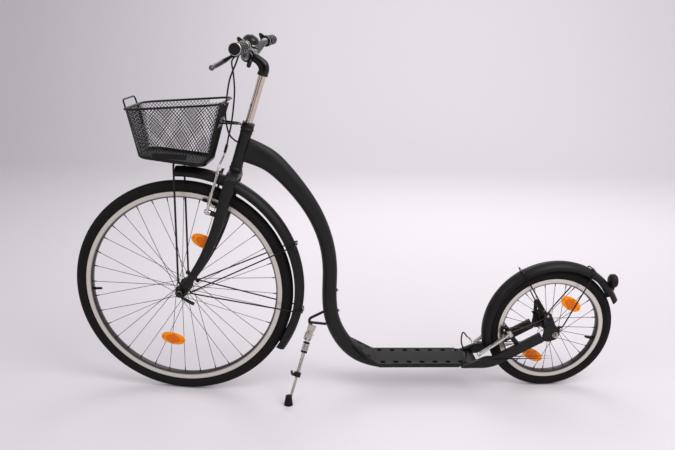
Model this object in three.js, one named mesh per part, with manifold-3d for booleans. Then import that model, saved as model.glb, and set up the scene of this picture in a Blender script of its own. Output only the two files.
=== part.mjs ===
// Kick bike: a foot-pushed scooter with a 28 inch front wheel, an 18 inch rear wheel,
// a low footboard, fenders, rim brakes, a front basket and a telescoping side stand.
// Millimetres. -X is the way it rides, +Y the rider's right, +Z up.
// It stands as parked: leaning on its stand, with the front wheel turned a little to the right.
// The footboard is level and the wheels upright in the group `scooter`, whose origin lies on the
// ground under the front axle. In the group `steering`, Z runs up the steering axis from the point
// beside the axle and X points back, square to it.

import * as THREE from 'three';
import { mergeVertices } from 'three/addons/utils/BufferGeometryUtils.js';
import Module from 'manifold-3d';

const wasm = await Module();
wasm.setup();

// Stance
const wheelbase = 1213;
const headAngleDeg = 75;
const forkRake = 54;
const standLeanDeg = 4.5;
const steerTurnDeg = -9.6;

// Fits
const fitGap = 0.3;
const cutOverrun = 6;
const mergeDistance = 0.001;
const facetTolerance = 0.01;

// Rims and tyres
const frontSeatRadius = 311;
const rearSeatRadius = 177.5;
const tyreHeight = 40;
const tyreHalfWidth = 19;
const tyreWall = 3;
const beadWidth = 3;
const rimHalfWidth = 12.5;
const rimLipHeight = 5;
const rimLipWall = 1.5;
const rimWellDepth = 3;
const rimBrakeDepth = 13.5;
const rimInnerDepth = 19.5;
const rimInnerHalfWidth = 5;
const frontWheelSides = 32;
const rearWheelSides = 24;
const tyreArcDeg = [-125, -75, -26, 26, 75, 125];
const tyreInnerArcDeg = [-70, 0, 70];

// Hubs, spokes and valves
const hubHalfLength = 50;
const hubAxleRadius = 5;
const hubEndRadius = 9;
const hubBarrelRadius = 12;
const hubFlangeRadius = 21;
const hubFlangeHalfSpan = 30;
const hubFlangeHalfWall = 1.8;
const hubFlangeTaper = 4;
const hubSides = 10;
const frontSpokes = 36;
const rearSpokes = 28;
const spokeRadius = 0.9;
const spokeLaceDeg = 58;
const spokeHubShift = 1.2;
const spokeRimShift = 0.9;
const spokeRimOffset = 2.2;
const spokeRootDepth = 2;
const valveRadius = 3.6;
const valveLength = 42;
const valveCapRadius = 4.4;
const valveCapLength = 12;

// Spoke reflectors
const reflectorLength = 72;
const reflectorHeight = 38;
const reflectorThickness = 6;
const frontReflectorRadius = 174;
const rearReflectorRadius = 108;
const frontReflectorDeg = [68, -101];
const rearReflectorDeg = [59, -119];
const frontValveDeg = -175;
const rearValveDeg = -15;

// Axles and nuts
const dropoutThickness = 6;
const axleOverhang = 14;
const axleNutRadius = 9;
const axleNutLength = 8;
const quickHeadLength = 4;
const quickCamRadius = 8;
const quickCamLength = 13;
const quickLeverLength = 56;
const quickLeverLean = 6;
const quickLeverWidth = 11;
const quickLeverThickness = 6;
const quickLeverDeg = -12;

// Fork
const steererRadius = 12.7;
const crownTop = 416;
const crownHeight = 23;
const crownSpread = 47;
const crownRadius = 17.5;
const legEndSpread = 54;
const legTopDepth = 18.5;
const legEndDepth = 12;
const legTopWidth = 14;
const legEndWidth = 7;
const legBendStart = 265;
const legEndHeight = 22;
const legEndRake = 45;
const legSteps = 6;
const legSides = 8;
const forkTipRadius = 15;
const forkTipNeck = 11;
const bossRadius = 8;
const bossLength = 31;
const bossHeight = 276;
const bossSpread = 42;

// Headset and head tube
const cupHeight = 12;
const cupRadius = 20;
const cupSkirtRadius = 17.5;
const headTubeLength = 114;
const headTubeRadius = 17.5;
const headTubeBore = 14;
const bracketPlate = 3;
const lockNutHeight = 11;
const lockNutRadius = 19;
const headSides = 12;

// Stem and handlebar
const quillRadius = 11.1;
const quillDepth = 70;
const stemSocketBottom = 716;
const stemSocketTop = 756;
const stemSocketRadius = 15;
const stemReach = 51;
const barHeight = 757;
const stemArmDepth = 13;
const stemArmWidth = 14;
const stemClampRadius = 19;
const stemClampHalfLength = 22;
const stemBoltRadius = 7;
const stemBoltDrop = 33;
const stemNotch = 5;
const barRadius = 11.1;
const barCentreRadius = 12.7;
const barCentreHalfLength = 36;
const barHalfWidth = 306;
const barRise = 37;
const barSweep = 8;
const barBendInner = 82;
const barBendOuter = 130;
const barBendRound = 24;
const barSides = 8;

// Grips, brake levers and bell
const gripLength = 118;
const gripRadius = 15.5;
const gripFlangeRadius = 17.5;
const gripFlangeLength = 5;
const gripRingLength = 5;
const gripRingRadius = 17;
const gripEndWall = 3;
const gripSides = 10;
const leverBandLength = 16;
const leverBandRadius = 16;
const leverInset = 8;
const leverDropDeg = 54;
const leverPivotReach = 40;
const leverPivotShift = 4;
const leverPivotRadius = 3;
const leverArmThickness = 6;
const leverForkGap = 8;
const leverForkWall = 3.5;
const leverLength = 112;
const leverTipReach = 80;
const leverBladeWidth = 13;
const leverTipRadius = 7.5;
const leverBladeShares = [[0.2, 0.32], [0.45, 0.62], [0.75, 0.82], [1, 1]];
const barrelRadius = 4.5;
const barrelLength = 20;
const barrelReach = 26;
const bellOffset = 47;
const bellRadius = 19.5;
const bellHeight = 17;
const bellWall = 1.8;
const bellPostRadius = 6;
const bellPostHeight = 46;
const bellBaseRadius = 15;
const bellBaseHeight = 3;
const bellBandRadius = 16;
const bellBandLength = 16;
const bellThumbLength = 26;
const bellThumbWidth = 9;
const bellThumbHeight = 5;
const bellThumbRing = 9;
const bellThumbLift = 27;

// Front and rear brakes
const brakeArmLength = 122;
const brakeArmWidth = 13;
const brakeArmThickness = 7;
const brakePivotSleeve = 9;
const brakeSleeveLength = 15;
const brakeBoltRadius = 4;
const brakeBoltLength = 4;
const brakeBoltHead = 7;
const padLength = 54;
const padHeight = 8;
const padTrackDrop = 9.5;
const padThickness = 10;
const padGap = 1.8;
const padStudRadius = 3.5;
const brakeTopSpread = 39;
const brakeArmBow = 2.5;
const brakeSlotWidth = 4;
const brakeSlotShares = [[0.36, 0.5], [0.58, 0.8]];
const brakeTopRadius = 5;
const noodleRadius = 2.8;
const noodleOuterSpread = 59;
const frontNoodleSpread = 15;
const rearNoodleSpread = 28;
const frontNoodleRise = 64;
const rearNoodleRise = 46;
const noodleShares = [[1, 0.16], [0.84, 0.44], [0.34, 0.7], [0, 0.88], [0, 1]];
const noodleSteps = 8;
const wireRadius = 1;
const bootRadius = 4.5;

// Fenders
const fenderHalfWidth = 28;
const fenderDepth = 19;
const fenderWall = 1.6;
const frontFenderRadius = 379;
const frontFenderLift = 14;
const frontFenderDeg = [109, -17];
const rearFenderRadius = 245;
const rearFenderDeg = [198, 27];
const fenderStepDeg = 12;
const fenderSectionShares = [-1, -0.86, -0.45, 0, 0.45, 0.86, 1];
const fenderStayRadius = 2;
const fenderStayBend = 8;
const fenderStayShoulder = 20;
const frontStayDeg = [39, 5.5];
const rearStayDeg = [122, 62];
const stayEyeRadius = 5;
const stayEyeThickness = 3;
const fenderEyeBack = 27;
const fenderEyeUp = 12;

// Basket and its supports
const basketCentreBack = -209;
const basketCentreHeight = 563;
const basketTiltDeg = 15;
const basketRimSlopeDeg = 6.2;
const basketTopLength = 275;
const basketTopWidth = 200;
const basketBottomLength = 190;
const basketBottomWidth = 164;
const basketBottomShift = -8;
const basketDepth = 160;
const basketCorner = 34;
const basketWall = 2.4;
const basketRimWidth = 3;
const basketRimHeight = 6;
const basketBandHeight = 34;
const basketNetMargin = 14;
const netPitch = 40;
const netRowPitch = 24;
const netStrand = 3.8;
const netCutReach = 15;
const netCornerShare = 0.7;
const basketLoopWidth = 104;
const basketLoopRise = 21;
const basketLoopLegs = 74;
const basketLoopRadius = 2.6;
const basketLoopStand = 9;
const basketStayRadius = 3.2;
const basketStayBend = 12;
const basketStayBack = -10;
const basketStayFootForward = 11;
const basketStayFootUp = 28;
const basketRodRadius = 3;
const basketRodSpread = 24;
const basketRodDrop = 60;
const basketTongueLength = 12;
const basketPlateWidth = 70;
const basketPlateHeight = 30;
const basketPlateThickness = 3;

// Main tube: shares of its run from the head tube (0, 1) to the rear of the footboard (1, 0),
// with shares of its round radius for the half depth across the run and for the half width
const mainTubeRadius = 23.5;
const mainStartBack = 14;
const mainStartDrop = 56;
const mainLineShares = [[0, 1], [0.024, 0.991], [0.092, 0.96], [0.153, 0.905], [0.224, 0.822],
  [0.29, 0.724], [0.343, 0.597], [0.365, 0.471], [0.366, 0.351], [0.376, 0.249], [0.4, 0.174],
  [0.444, 0.099], [0.505, 0.038]];
const mainDepthShares = [1.62, 1.57, 1.45, 1.28, 1.15, 1.06, 1, 1, 1, 1.02, 1.04, 1.06, 0.98];
const mainWidthShares = [0.6, 0.75, 0.9, 0.98, 1, 1, 1, 1, 1, 1, 1, 1, 1.02];
const mainUnderDepth = 33;
const mainRearDepth = 29;
const mainUnderWidth = 52;
const mainSides = 12;
const bottleBossDrops = [455, 527];
const bottleBossRadius = 4;
const bottleBossLength = 4;

// Footboard
const deckRearToAxle = 283;
const deckLength = 305;
const deckTop = 110;
const deckThickness = 3;
const deckHalfWidth = 57;
const deckFlange = 12;
const deckTaperLength = 24;
const deckTaperWidth = 38;
const rampLength = 98;
const rampRise = 72;
const rampTipHalfWidth = 12;
const slotLength = 18;
const slotWidth = 9;
const slotSpread = 41;
const slotCount = 7;
const slotInset = 21;
const rampSlotBack = 30;
const rampSlotSpread = 30;
const sideSlotCount = 4;
const sideSlotHeight = 4;
const rampFitShare = 0.9;
const rampLap = 0.7;

// Rear stays, yoke and dropouts
const stayHalfSpread = 52;
const stayThickness = 16;
const stayDepth = 35;
const stayBottom = 94;
const stayNose = 22;
const stayBendToAxle = 207;
const stayEndToAxle = 43;
const stayEndDrop = 10.5;
const yokeLength = 39;
const yokeLap = 6;
const yokeHeight = 22;
const dropoutPlate = 8;
const dropoutHeight = 110;
const dropoutLength = 70;
const dropoutOutlineShares = [[-0.7, -0.2], [-0.33, -0.34], [0.2, -0.19], [0.36, 0.04], [0.3, 0.26], [0.05,
  0.34],
  [-0.31, 0.74], [-0.79, 0.7], [-0.74, 0.12]];
const rearStayEyeShares = [[-0.5, 0.62], [0.2, 0.2]];
const rearBrakeAlong = 107;
const rearBrakeRaise = 18;
const rearBossSink = 14.5;
const rearBrakeDeg = 219.8;

// Rear light
const lightBack = 1410;
const lightHeight = 388;
const lightRadius = 23;
const lightDepth = 12;
const lightDomeDepth = 8;
const lightNeckHalf = 8;
const lensThickness = 5;
const lightSides = 12;

// Side stand: a bent hoop on the main tube carries the hinge plate
const hoopRadius = 3.5;
const hoopSide = 24;
const hoopTubeSide = 12;
const hoopTubeReach = 56;
const hoopTopRise = 66;
const hoopTopDrop = 24;
const hoopUnderDrop = 12;
const hoopFootRise = 17;
const standPlateThickness = 5;
const standPlateRadius = 10;
const standPlateRise = 30;
const standPivotBack = 399;
const standPivotHeight = 216;
const standPivotSide = 48;
const standFoldShares = [0.963, -0.107, -0.1];
const standPinRadius = 4;
const standFootBack = 335;
const standFootOut = 144;
const standEarRadius = 11;
const standEarThickness = 4;
const standBridgeStart = 12;
const standBridgeEnd = 22;
const standLegRadius = 7;
const standRodRadius = 4.5;
const standLegLength = 142;
const standRodInsert = 40;
const standBoreLength = 84;
const standClampRadius = 11;
const standClampLength = 16;
const standFootRadius = 14;
const standFootNeck = 9;
const standFootHeight = 32;
const standFootSole = 8;
const standFootWall = 4;
const springStart = 34;
const springRadius = 10;
const springWire = 1.2;
const springCurls = 5;
const springLength = 22;
const collarRadius = 10.5;
const collarLength = 7;
const wingSpan = 30;
const wingThickness = 4;
const wingReach = 12;
const wingScrewRadius = 3;

// Brake cables
const cableRadius = 2.5;
const cableSides = 6;
const cableSteps = 26;
const rearCableSteps = 14;
const ferruleRadius = 4.2;
const ferruleLength = 26;
// Routes in the steering group from each lever, and on the frame from the yoke to the rear brake
const frontCableRoute = [[-92, 86, 742], [-104, 42, 722], [-84, 12, 688], [-67, 2, 646], [-55, 0, 589],
  [-49, 0, 544],
  [-46, -5, 505]];
const steeringCableRoute = [[-61, -128, 742], [-70, -106, 690], [-69, -86, 640], [-66, -68, 598], [-55, -44,
  550],
  [-38, -30, 519]];
const rearCableRoute = [[938, 4, 126], [934, 2, 152], [932, 8, 174]];
const headPortHeight = 507;
const headPortDeg = 225;
const yokePortBack = 938;
const yokePortSide = 4;

const paint = new THREE.MeshStandardMaterial({ color: 0x26272a, roughness: 0.5, metalness: 0.2 });
const plastic = new THREE.MeshStandardMaterial({ color: 0x1c1c1e, roughness: 0.55, metalness: 0 });
const rubber = new THREE.MeshStandardMaterial({ color: 0x1f1f20, roughness: 0.85, metalness: 0 });
const chrome = new THREE.MeshStandardMaterial({ color: 0xd8d4cc, roughness: 0.12, metalness: 1 });
const alloy = new THREE.MeshStandardMaterial({ color: 0xc9c4ba, roughness: 0.38, metalness: 0.9 });
const grey = new THREE.MeshStandardMaterial({ color: 0x6c6e73, roughness: 0.35, metalness: 0.8 });
const amber = new THREE.MeshStandardMaterial({ color: 0xf08a12, roughness: 0.25, metalness: 0 });
const red = new THREE.MeshStandardMaterial({ color: 0x6e1518, roughness: 0.2, metalness: 0 });
const steel = new THREE.MeshStandardMaterial({ color: 0xb9b6b0, roughness: 0.3, metalness: 0.9 });

// Places worked out from the sizes above
const rad = THREE.MathUtils.degToRad;
// The corner radius of a faceted bore that clears a round piece by the fit gap.
const bored = (radius, sides = 12) => (radius + fitGap) / Math.cos(Math.PI / sides);
const vec = (x, y, z) => new THREE.Vector3(x, y, z);
const headTilt = rad(90 - headAngleDeg);
const frontTyreRadius = frontSeatRadius + tyreHeight;
const rearTyreRadius = rearSeatRadius + tyreHeight;
const steeringFoot = vec(forkRake * Math.cos(headTilt), 0, frontTyreRadius - forkRake * Math.sin(headTilt));
const alongSteering = (height, back = 0) => vec(
  steeringFoot.x + height * Math.sin(headTilt) + back * Math.cos(headTilt), 0,
  steeringFoot.z + height * Math.cos(headTilt) - back * Math.sin(headTilt));
const lowerCupTop = crownTop + fitGap + cupHeight;
const headTubeTop = lowerCupTop + fitGap + headTubeLength;
const upperCupTop = headTubeTop + fitGap + cupHeight;
const bracketPlateTop = upperCupTop + fitGap + bracketPlate;
const lockNutTop = bracketPlateTop + fitGap + lockNutHeight;
const steererBore = bored(quillRadius, headSides);
const dropoutInner = hubHalfLength + fitGap;
const forkTipOuter = dropoutInner + dropoutThickness;
const deckRear = wheelbase - deckRearToAxle;
const deckFront = deckRear - deckLength;
const deckUnder = deckTop - deckThickness - fitGap;

const staySide = forkTipOuter + fitGap;
const basketStayFoot = vec(-forkRake - basketStayFootForward, 0, basketStayFootUp);
const fenderEye = [-forkRake + fenderEyeBack, fenderEyeUp];

// A closed solid from a closed geometry, its faces turned outward.
function solid(geometry) {
  const bare = geometry.clone();
  Object.keys(bare.attributes).filter((name) => name !== 'position')
    .forEach((name) => bare.deleteAttribute(name));
  const merged = mergeVertices(bare, mergeDistance);
  const points = merged.attributes.position;
  const corners = [0, 1, 2].map(() => vec(0, 0, 0));
  const faces = [];
  let volume = 0;
  for (let i = 0; i < merged.index.count; i += 3) {
    const face = [0, 1, 2].map((k) => merged.index.getX(i + k));
    if (new Set(face).size < 3) continue;
    corners.forEach((corner, k) => corner.fromBufferAttribute(points, face[k]));
    volume += corners[0].dot(corners[1].clone().cross(corners[2]));
    faces.push(face);
  }
  const turned = volume < 0 ? faces.map(([a, b, c]) => [a, c, b]) : faces;
  return new wasm.Manifold(new wasm.Mesh({
    numProp: 3,
    vertProperties: new Float32Array(points.array),
    triVerts: new Uint32Array(turned.flat()),
  }));
}

const fuse = (first, ...rest) => rest.reduce((whole, next) => whole.add(next), first);
const cut = (first, ...tools) => tools.reduce((whole, tool) => whole.subtract(tool), first);

// Adds a solid as a named mesh, without the small faces that its cuts and joins left in one plane.
function addPiece(parent, name, material, body) {
  const { vertProperties, triVerts } = body.asOriginal().simplify(facetTolerance).getMesh();
  const geometry = new THREE.BufferGeometry();
  geometry.setAttribute('position', new THREE.BufferAttribute(new Float32Array(vertProperties), 3));
  geometry.setIndex(Array.from(triVerts));
  geometry.computeVertexNormals();
  const mesh = new THREE.Mesh(geometry, material);
  mesh.name = name;
  parent.add(mesh);
  return mesh;
}

function box(x, y, z) {
  const size = [x, y, z].map(([low, high]) => high - low);
  const middle = [x, y, z].map(([low, high]) => (low + high) / 2);
  return solid(new THREE.BoxGeometry(...size).translate(...middle));
}

// A round rod between two points; a second radius tapers it.
function rod(from, to, radius, sides = 12, endRadius = radius) {
  const along = to.clone().sub(from);
  const geometry = new THREE.CylinderGeometry(endRadius, radius, along.length(), sides);
  geometry.applyQuaternion(new THREE.Quaternion().setFromUnitVectors(vec(0, 1, 0), along.normalize()));
  return solid(geometry.translate(...from.clone().add(to).divideScalar(2).toArray()));
}

// A body turned about Y from [radius, y] pairs; `upright` stands it on Z instead.
function turned(profile, sides, { upright = false, halfStep = false } = {}) {
  const outline = [...profile, profile[0]].map(([radius, y]) => new THREE.Vector2(radius, y));
  const geometry = new THREE.LatheGeometry(outline, sides);
  if (halfStep) geometry.rotateY(Math.PI / sides);
  if (upright) geometry.rotateX(Math.PI / 2);
  return solid(geometry);
}

const tubeProfile = (outer, bore, low, high) => [[bore, low], [outer, low], [outer, high], [bore, high]];

function shapeOf(outline, holes) {
  const points = (list) => list.map(([x, y]) => new THREE.Vector2(x, y));
  const shape = new THREE.Shape(points(outline));
  shape.holes = holes.map((hole) => new THREE.Path(points(hole)));
  return shape;
}

// Plates: an outline in X and Z with its thickness along Y; one in X and Y standing on `bottom`;
// and one in Y and Z with its thickness along X.
function sidePlate(outline, thickness, middle, holes = []) {
  const geometry = new THREE.ExtrudeGeometry(shapeOf(outline, holes), { depth: thickness,
    bevelEnabled: false });
  return solid(geometry.rotateX(Math.PI / 2).translate(0, middle + thickness / 2, 0));
}

function flatPlate(outline, bottom, thickness, holes = []) {
  const geometry = new THREE.ExtrudeGeometry(shapeOf(outline, holes), { depth: thickness,
    bevelEnabled: false });
  return solid(geometry.translate(0, 0, bottom));
}

function crossPlate(outline, thickness, middle) {
  const geometry = new THREE.ExtrudeGeometry(shapeOf(outline, []), { depth: thickness, bevelEnabled: false });
  geometry.translate(0, 0, -thickness / 2).rotateX(Math.PI / 2).rotateZ(Math.PI / 2);
  return solid(geometry.translate(middle, 0, 0));
}

// The outline of a strip of even width along a bent line in X and Z.
function strip(line, width) {
  const points = line.map(([x, z]) => new THREE.Vector2(x, z));
  const offsets = points.map((point, i) => {
    const before = point.clone().sub(points[Math.max(i - 1, 0)]).normalize();
    const after = points[Math.min(i + 1, points.length - 1)].clone().sub(point).normalize();
    const along = before.add(after).normalize();
    const leg = i + 1 < points.length ? after : along;
    const across = new THREE.Vector2(-along.y, along.x);
    const mitre = Math.abs(across.dot(new THREE.Vector2(-leg.y, leg.x)));
    return across.multiplyScalar(width / 2 / mitre);
  });
  const side = (sign) => points.map((point, i) => point.clone().addScaledVector(offsets[i], sign).toArray());
  return [...side(1), ...side(-1).reverse()];
}

const roundSection = (sides) => Array.from({ length: sides }, (_, i) => {
  const turn = (2 * Math.PI * i) / sides;
  return [Math.cos(turn), Math.sin(turn)];
});

const disc = (x, z, radius, sides = 10) => roundSection(sides).map(([a, b]) => [x + a * radius,
  z + b * radius]);

// Joins rings of points in order and closes both ends, which have the flat outline given.
function loft(rings, outline) {
  const count = outline.length;
  const faces = [];
  for (let start = 0; start < (rings.length - 1) * count; start += count) {
    for (let j = 0; j < count; j += 1) {
      const a = start + j;
      const b = start + ((j + 1) % count);
      faces.push(a, b, a + count, b, b + count, a + count);
    }
  }
  const contour = outline.map(([a, b]) => new THREE.Vector2(a, b));
  const clockwise = THREE.ShapeUtils.isClockWise(contour);
  const last = (rings.length - 1) * count;
  for (const face of THREE.ShapeUtils.triangulateShape(contour, [])) {
    const [a, b, c] = clockwise ? [...face].reverse() : face;
    faces.push(c, b, a, last + a, last + b, last + c);
  }
  const geometry = new THREE.BufferGeometry();
  geometry.setAttribute('position',
    new THREE.Float32BufferAttribute(rings.flat().flatMap((p) => p.toArray()), 3));
  geometry.setIndex(faces);
  return solid(geometry);
}

// Carries a flat section along places, each with its centre and the section's two axes.
const sweep = (section, places) => loft(places.map(({ at, across, beside }) => section.map(
  ([a, b]) => at.clone().addScaledVector(across, a).addScaledVector(beside, b))), section);

// An oval tube along a line that stays near an upright plane: depth across it, width along Y.
function ovalTube(line, depths, widths, sides) {
  return sweep(roundSection(sides), line.map((at, i) => {
    const before = line[Math.max(i - 1, 0)];
    const after = line[Math.min(i + 1, line.length - 1)];
    const along = after.clone().sub(before).setY(0).normalize();
    return { at, across: vec(along.z, 0, -along.x).multiplyScalar(depths[i]), beside: vec(0, widths[i], 0) };
  }));
}

// A bent rod through points, with its corners rounded.
function wire(points, radius, { bend = 0, sides = 5 } = {}) {
  const line = bend ? rounded(points, bend) : points;
  const legs = line.slice(1).map((point, i) => point.clone().sub(line[i]).normalize());
  const startAxis = Math.abs(legs[0].y) < 0.9 ? vec(0, 1, 0) : vec(1, 0, 0);
  let across = startAxis.cross(legs[0]).normalize();
  return sweep(roundSection(sides), line.map((at, i) => {
    const along = legs[Math.max(i - 1, 0)].clone().add(legs[Math.min(i, legs.length - 1)]).normalize();
    across = across.clone().addScaledVector(along, -across.dot(along)).normalize();
    const beside = along.clone().cross(across).multiplyScalar(radius);
    return { at, across: across.clone().multiplyScalar(radius), beside };
  }));
}

function rounded(points, bend, steps = 2) {
  const inner = points.slice(1, -1).flatMap((corner, i) => {
    const from = corner.clone().add(points[i].clone().sub(corner).setLength(bend));
    const to = corner.clone().add(points[i + 2].clone().sub(corner).setLength(bend));
    return new THREE.QuadraticBezierCurve3(from, corner, to).getPoints(steps);
  });
  return [points[0], ...inner, points[points.length - 1]];
}

// A cable: a round section drawn along a smooth curve through its points.
function cable(points, radius, steps) {
  const shape = new THREE.Shape(roundSection(cableSides).map(([a, b]) => new THREE.Vector2(a * radius,
    b * radius)));
  const extrudePath = new THREE.CatmullRomCurve3(points, false, 'centripetal');
  return solid(new THREE.ExtrudeGeometry(shape, { extrudePath, steps, bevelEnabled: false }));
}

// Wheels

function rimProfile(seat) {
  const lip = seat + rimLipHeight;
  const seatEdge = rimHalfWidth - rimLipWall;
  const half = [[seat - rimWellDepth, rimInnerHalfWidth], [seat, seatEdge], [lip, seatEdge], [lip,
    rimHalfWidth],
    [seat - rimBrakeDepth, rimHalfWidth], [seat - rimInnerDepth, rimInnerHalfWidth]];
  return [...half, ...half.map(([radius, y]) => [radius, -y]).reverse()];
}

function tyreProfile(seat) {
  const centre = seat + tyreHeight - tyreHalfWidth;
  const arc = (angles, radius) => angles.map((angle) => [
    centre + radius * Math.cos(rad(angle)), radius * Math.sin(rad(angle))]);
  const bead = rimHalfWidth - rimLipWall - fitGap;
  const beadTop = seat + rimLipHeight + rimLipWall;
  const beadSide = [[beadTop, bead], [seat + fitGap, bead], [seat + fitGap, bead - beadWidth]];
  const mirrored = beadSide.map(([radius, y]) => [radius, -y]).reverse();
  return [...arc(tyreArcDeg, tyreHalfWidth), ...beadSide,
    ...arc([...tyreInnerArcDeg].reverse(), tyreHalfWidth - tyreWall), ...mirrored];
}

function innerTubeProfile(seat) {
  const centre = seat + tyreHeight - tyreHalfWidth;
  const radius = tyreHalfWidth - tyreWall - 2 * fitGap;
  const arc = tyreInnerArcDeg.map((angle) => [centre + radius * Math.cos(rad(angle)),
    radius * Math.sin(rad(angle))]);
  const foot = rimHalfWidth - rimLipWall - fitGap - beadWidth - 2 * fitGap;
  return [...arc, [seat + tyreWall, foot], [seat + tyreWall, -foot]];
}

function hubProfile() {
  const bore = bored(hubAxleRadius, hubSides);
  const outer = hubFlangeHalfSpan + hubFlangeHalfWall;
  const inner = hubFlangeHalfSpan - hubFlangeHalfWall;
  const half = [[bore, hubHalfLength], [hubEndRadius, hubHalfLength], [hubEndRadius, outer + hubFlangeTaper],
    [hubFlangeRadius, outer], [hubFlangeRadius, inner], [hubBarrelRadius, inner - hubFlangeTaper]];
  return [...half, ...half.map(([radius, y]) => [radius, -y]).reverse()];
}

// Crossed spokes: each runs from a flange to the rim, turned forward or back by the lacing angle.
function spokes(rimRadius, count) {
  return Array.from({ length: count }, (_, i) => {
    const side = i % 2 ? 1 : -1;
    const lace = i % 4 < 2 ? 1 : -1;
    const rimTurn = (2 * Math.PI * i) / count;
    const hubTurn = rimTurn + lace * rad(spokeLaceDeg);
    const hubRadius = hubFlangeRadius - spokeRootDepth;
    const from = vec(hubRadius * Math.cos(hubTurn), side * hubFlangeHalfSpan + lace * spokeHubShift,
      hubRadius * Math.sin(hubTurn));
    const to = vec(rimRadius * Math.cos(rimTurn), side * spokeRimOffset + lace * spokeRimShift,
      rimRadius * Math.sin(rimTurn));
    return rod(from, to, spokeRadius, 3);
  });
}

// A spoke reflector lies against the near spokes, on the cone that they make.
function reflector(rimRadius, reflectorRadius, turnDeg) {
  const hubRadius = hubFlangeRadius - spokeRootDepth;
  const share = (reflectorRadius - hubRadius) / (rimRadius - hubRadius);
  const coneRise = hubFlangeHalfSpan - spokeRimOffset;
  const coneTilt = Math.atan2(coneRise, rimRadius - hubRadius);
  const spokeSide = hubFlangeHalfSpan - coneRise * share + spokeHubShift + fitGap;
  const outline = roundSection(12).map(([a, b]) => [
    (Math.sign(a) * Math.abs(a) ** 0.8 * reflectorHeight) / 2,
      (Math.sign(b) * Math.abs(b) ** 0.8 * reflectorLength) / 2]);
  const geometry = new THREE.ExtrudeGeometry(shapeOf(outline, []), { depth: reflectorThickness,
    bevelEnabled: false });
  geometry.rotateX(Math.PI / 2).rotateZ(coneTilt);
  geometry.translate(reflectorRadius, -spokeSide, 0).rotateY(-rad(turnDeg));
  return solid(geometry);
}

function addWheel(parent, end, { seat, sides, spokeCount, reflectorRadius, reflectorDegs, valveDeg }) {
  const innerRim = (seat - rimInnerDepth) * Math.cos(Math.PI / sides) - fitGap;
  const toValve = vec(Math.cos(rad(valveDeg)), 0, Math.sin(rad(valveDeg)));
  const valveTop = toValve.clone().multiplyScalar(seat + tyreHeight / 3);
  const valveFoot = toValve.clone().multiplyScalar(seat - valveLength);
  const capTop = toValve.clone().multiplyScalar(seat - valveLength + valveCapLength);
  const valveHole = rod(valveFoot, valveTop.clone().addScaledVector(toValve, cutOverrun), bored(valveRadius,
    8), 8);
  const ring = { halfStep: true };
  addPiece(parent, `${end}_rim`, alloy, cut(turned(rimProfile(seat), sides, ring), valveHole));
  addPiece(parent, `${end}_tyre`, rubber, turned(tyreProfile(seat), sides, ring));
  addPiece(parent, `${end}_inner_tube`, rubber, fuse(turned(innerTubeProfile(seat), sides, ring),
    rod(valveFoot, valveTop, valveRadius, 8), rod(valveFoot, capTop, valveCapRadius, 8)));
  addPiece(parent, `${end}_hub`, steel, fuse(turned(hubProfile(), hubSides), ...spokes(innerRim,
    spokeCount)));
  reflectorDegs.forEach((turnDeg, i) => addPiece(parent, `${end}_reflector_${i + 1}`, amber,
    reflector(innerRim, reflectorRadius, turnDeg)));
}

// An axle through hub and dropouts, with a nut outside each; a quick release has a plain head on the near
// side.
function axle(inner, outer, quick = false) {
  const seat = outer + fitGap;
  const nut = (side) => rod(vec(0, side * seat, 0), vec(0, side * (seat + axleNutLength), 0), axleNutRadius,
    6);
  const nearEnd = quick ? seat + quickHeadLength : outer + axleOverhang;
  const shaft = rod(vec(0, -nearEnd, 0), vec(0, outer + axleOverhang, 0), hubAxleRadius, hubSides);
  const headDisc = rod(vec(0, -seat, 0), vec(0, -nearEnd, 0), axleNutRadius);
  return fuse(shaft, nut(1), quick ? headDisc : nut(-1));
}

// Steering

function forkLeg(side) {
  const bendLength = legBendStart - legEndHeight;
  const heights = Array.from({ length: legSteps }, (_,
    i) => legBendStart - (bendLength * i) / (legSteps - 1));
  const all = [crownTop - crownHeight + fitGap, ...heights];
  const share = (height) => (all[0] - height) / (all[0] - legEndHeight);
  const mix = (from, to, height) => from + (to - from) * share(height);
  const line = all.map((height) => {
    const bend = Math.max(0, (legBendStart - height) / bendLength);
    return vec(-legEndRake * bend * bend, side * mix(crownSpread, legEndSpread, height), height);
  });
  return ovalTube(line, all.map((height) => mix(legTopDepth, legEndDepth, height)),
    all.map((height) => mix(legTopWidth, legEndWidth, height)), legSides);
}

// The flat tip under each leg: the axle seat and the two eyes for the basket and fender stays.
function forkTip(side) {
  const middle = side * (dropoutInner + dropoutThickness / 2);
  const root = [-legEndRake, legEndHeight];
  const link = (to, width) => sidePlate(strip([root, to], width), dropoutThickness, middle);
  const eyes = [[basketStayFoot.x, basketStayFoot.z], fenderEye];
  const plate = (outline) => sidePlate(outline, dropoutThickness, middle);
  const axleHole = sidePlate(disc(-forkRake, 0, bored(hubAxleRadius, hubSides), hubSides),
    dropoutThickness + cutOverrun, middle);
  return cut(fuse(plate(disc(-forkRake, 0, forkTipRadius, 12)), plate(disc(...root, forkTipNeck, 8)),
    link([-forkRake, 0], 2 * forkTipNeck), ...eyes.flatMap((eye) => [link(eye, 2 * stayEyeRadius),
      plate(disc(...eye, stayEyeRadius + stayEyeThickness / 2, 8))])), axleHole);
}

function crown() {
  const half = crownSpread + legTopWidth;
  const bottom = crownTop - crownHeight;
  const outline = [[-crownSpread / 2, crownTop], [crownSpread / 2, crownTop], [crownSpread,
    crownTop - crownHeight / 4],
    [half, crownTop - crownHeight * 0.7], [half, bottom - fitGap], [-half, bottom - fitGap],
    [-half, crownTop - crownHeight * 0.7], [-crownSpread, crownTop - crownHeight / 4]];
  return crossPlate(outline.map(([y, z]) => [y, Math.max(z, bottom)]), 2 * crownRadius, 0);
}

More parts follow.
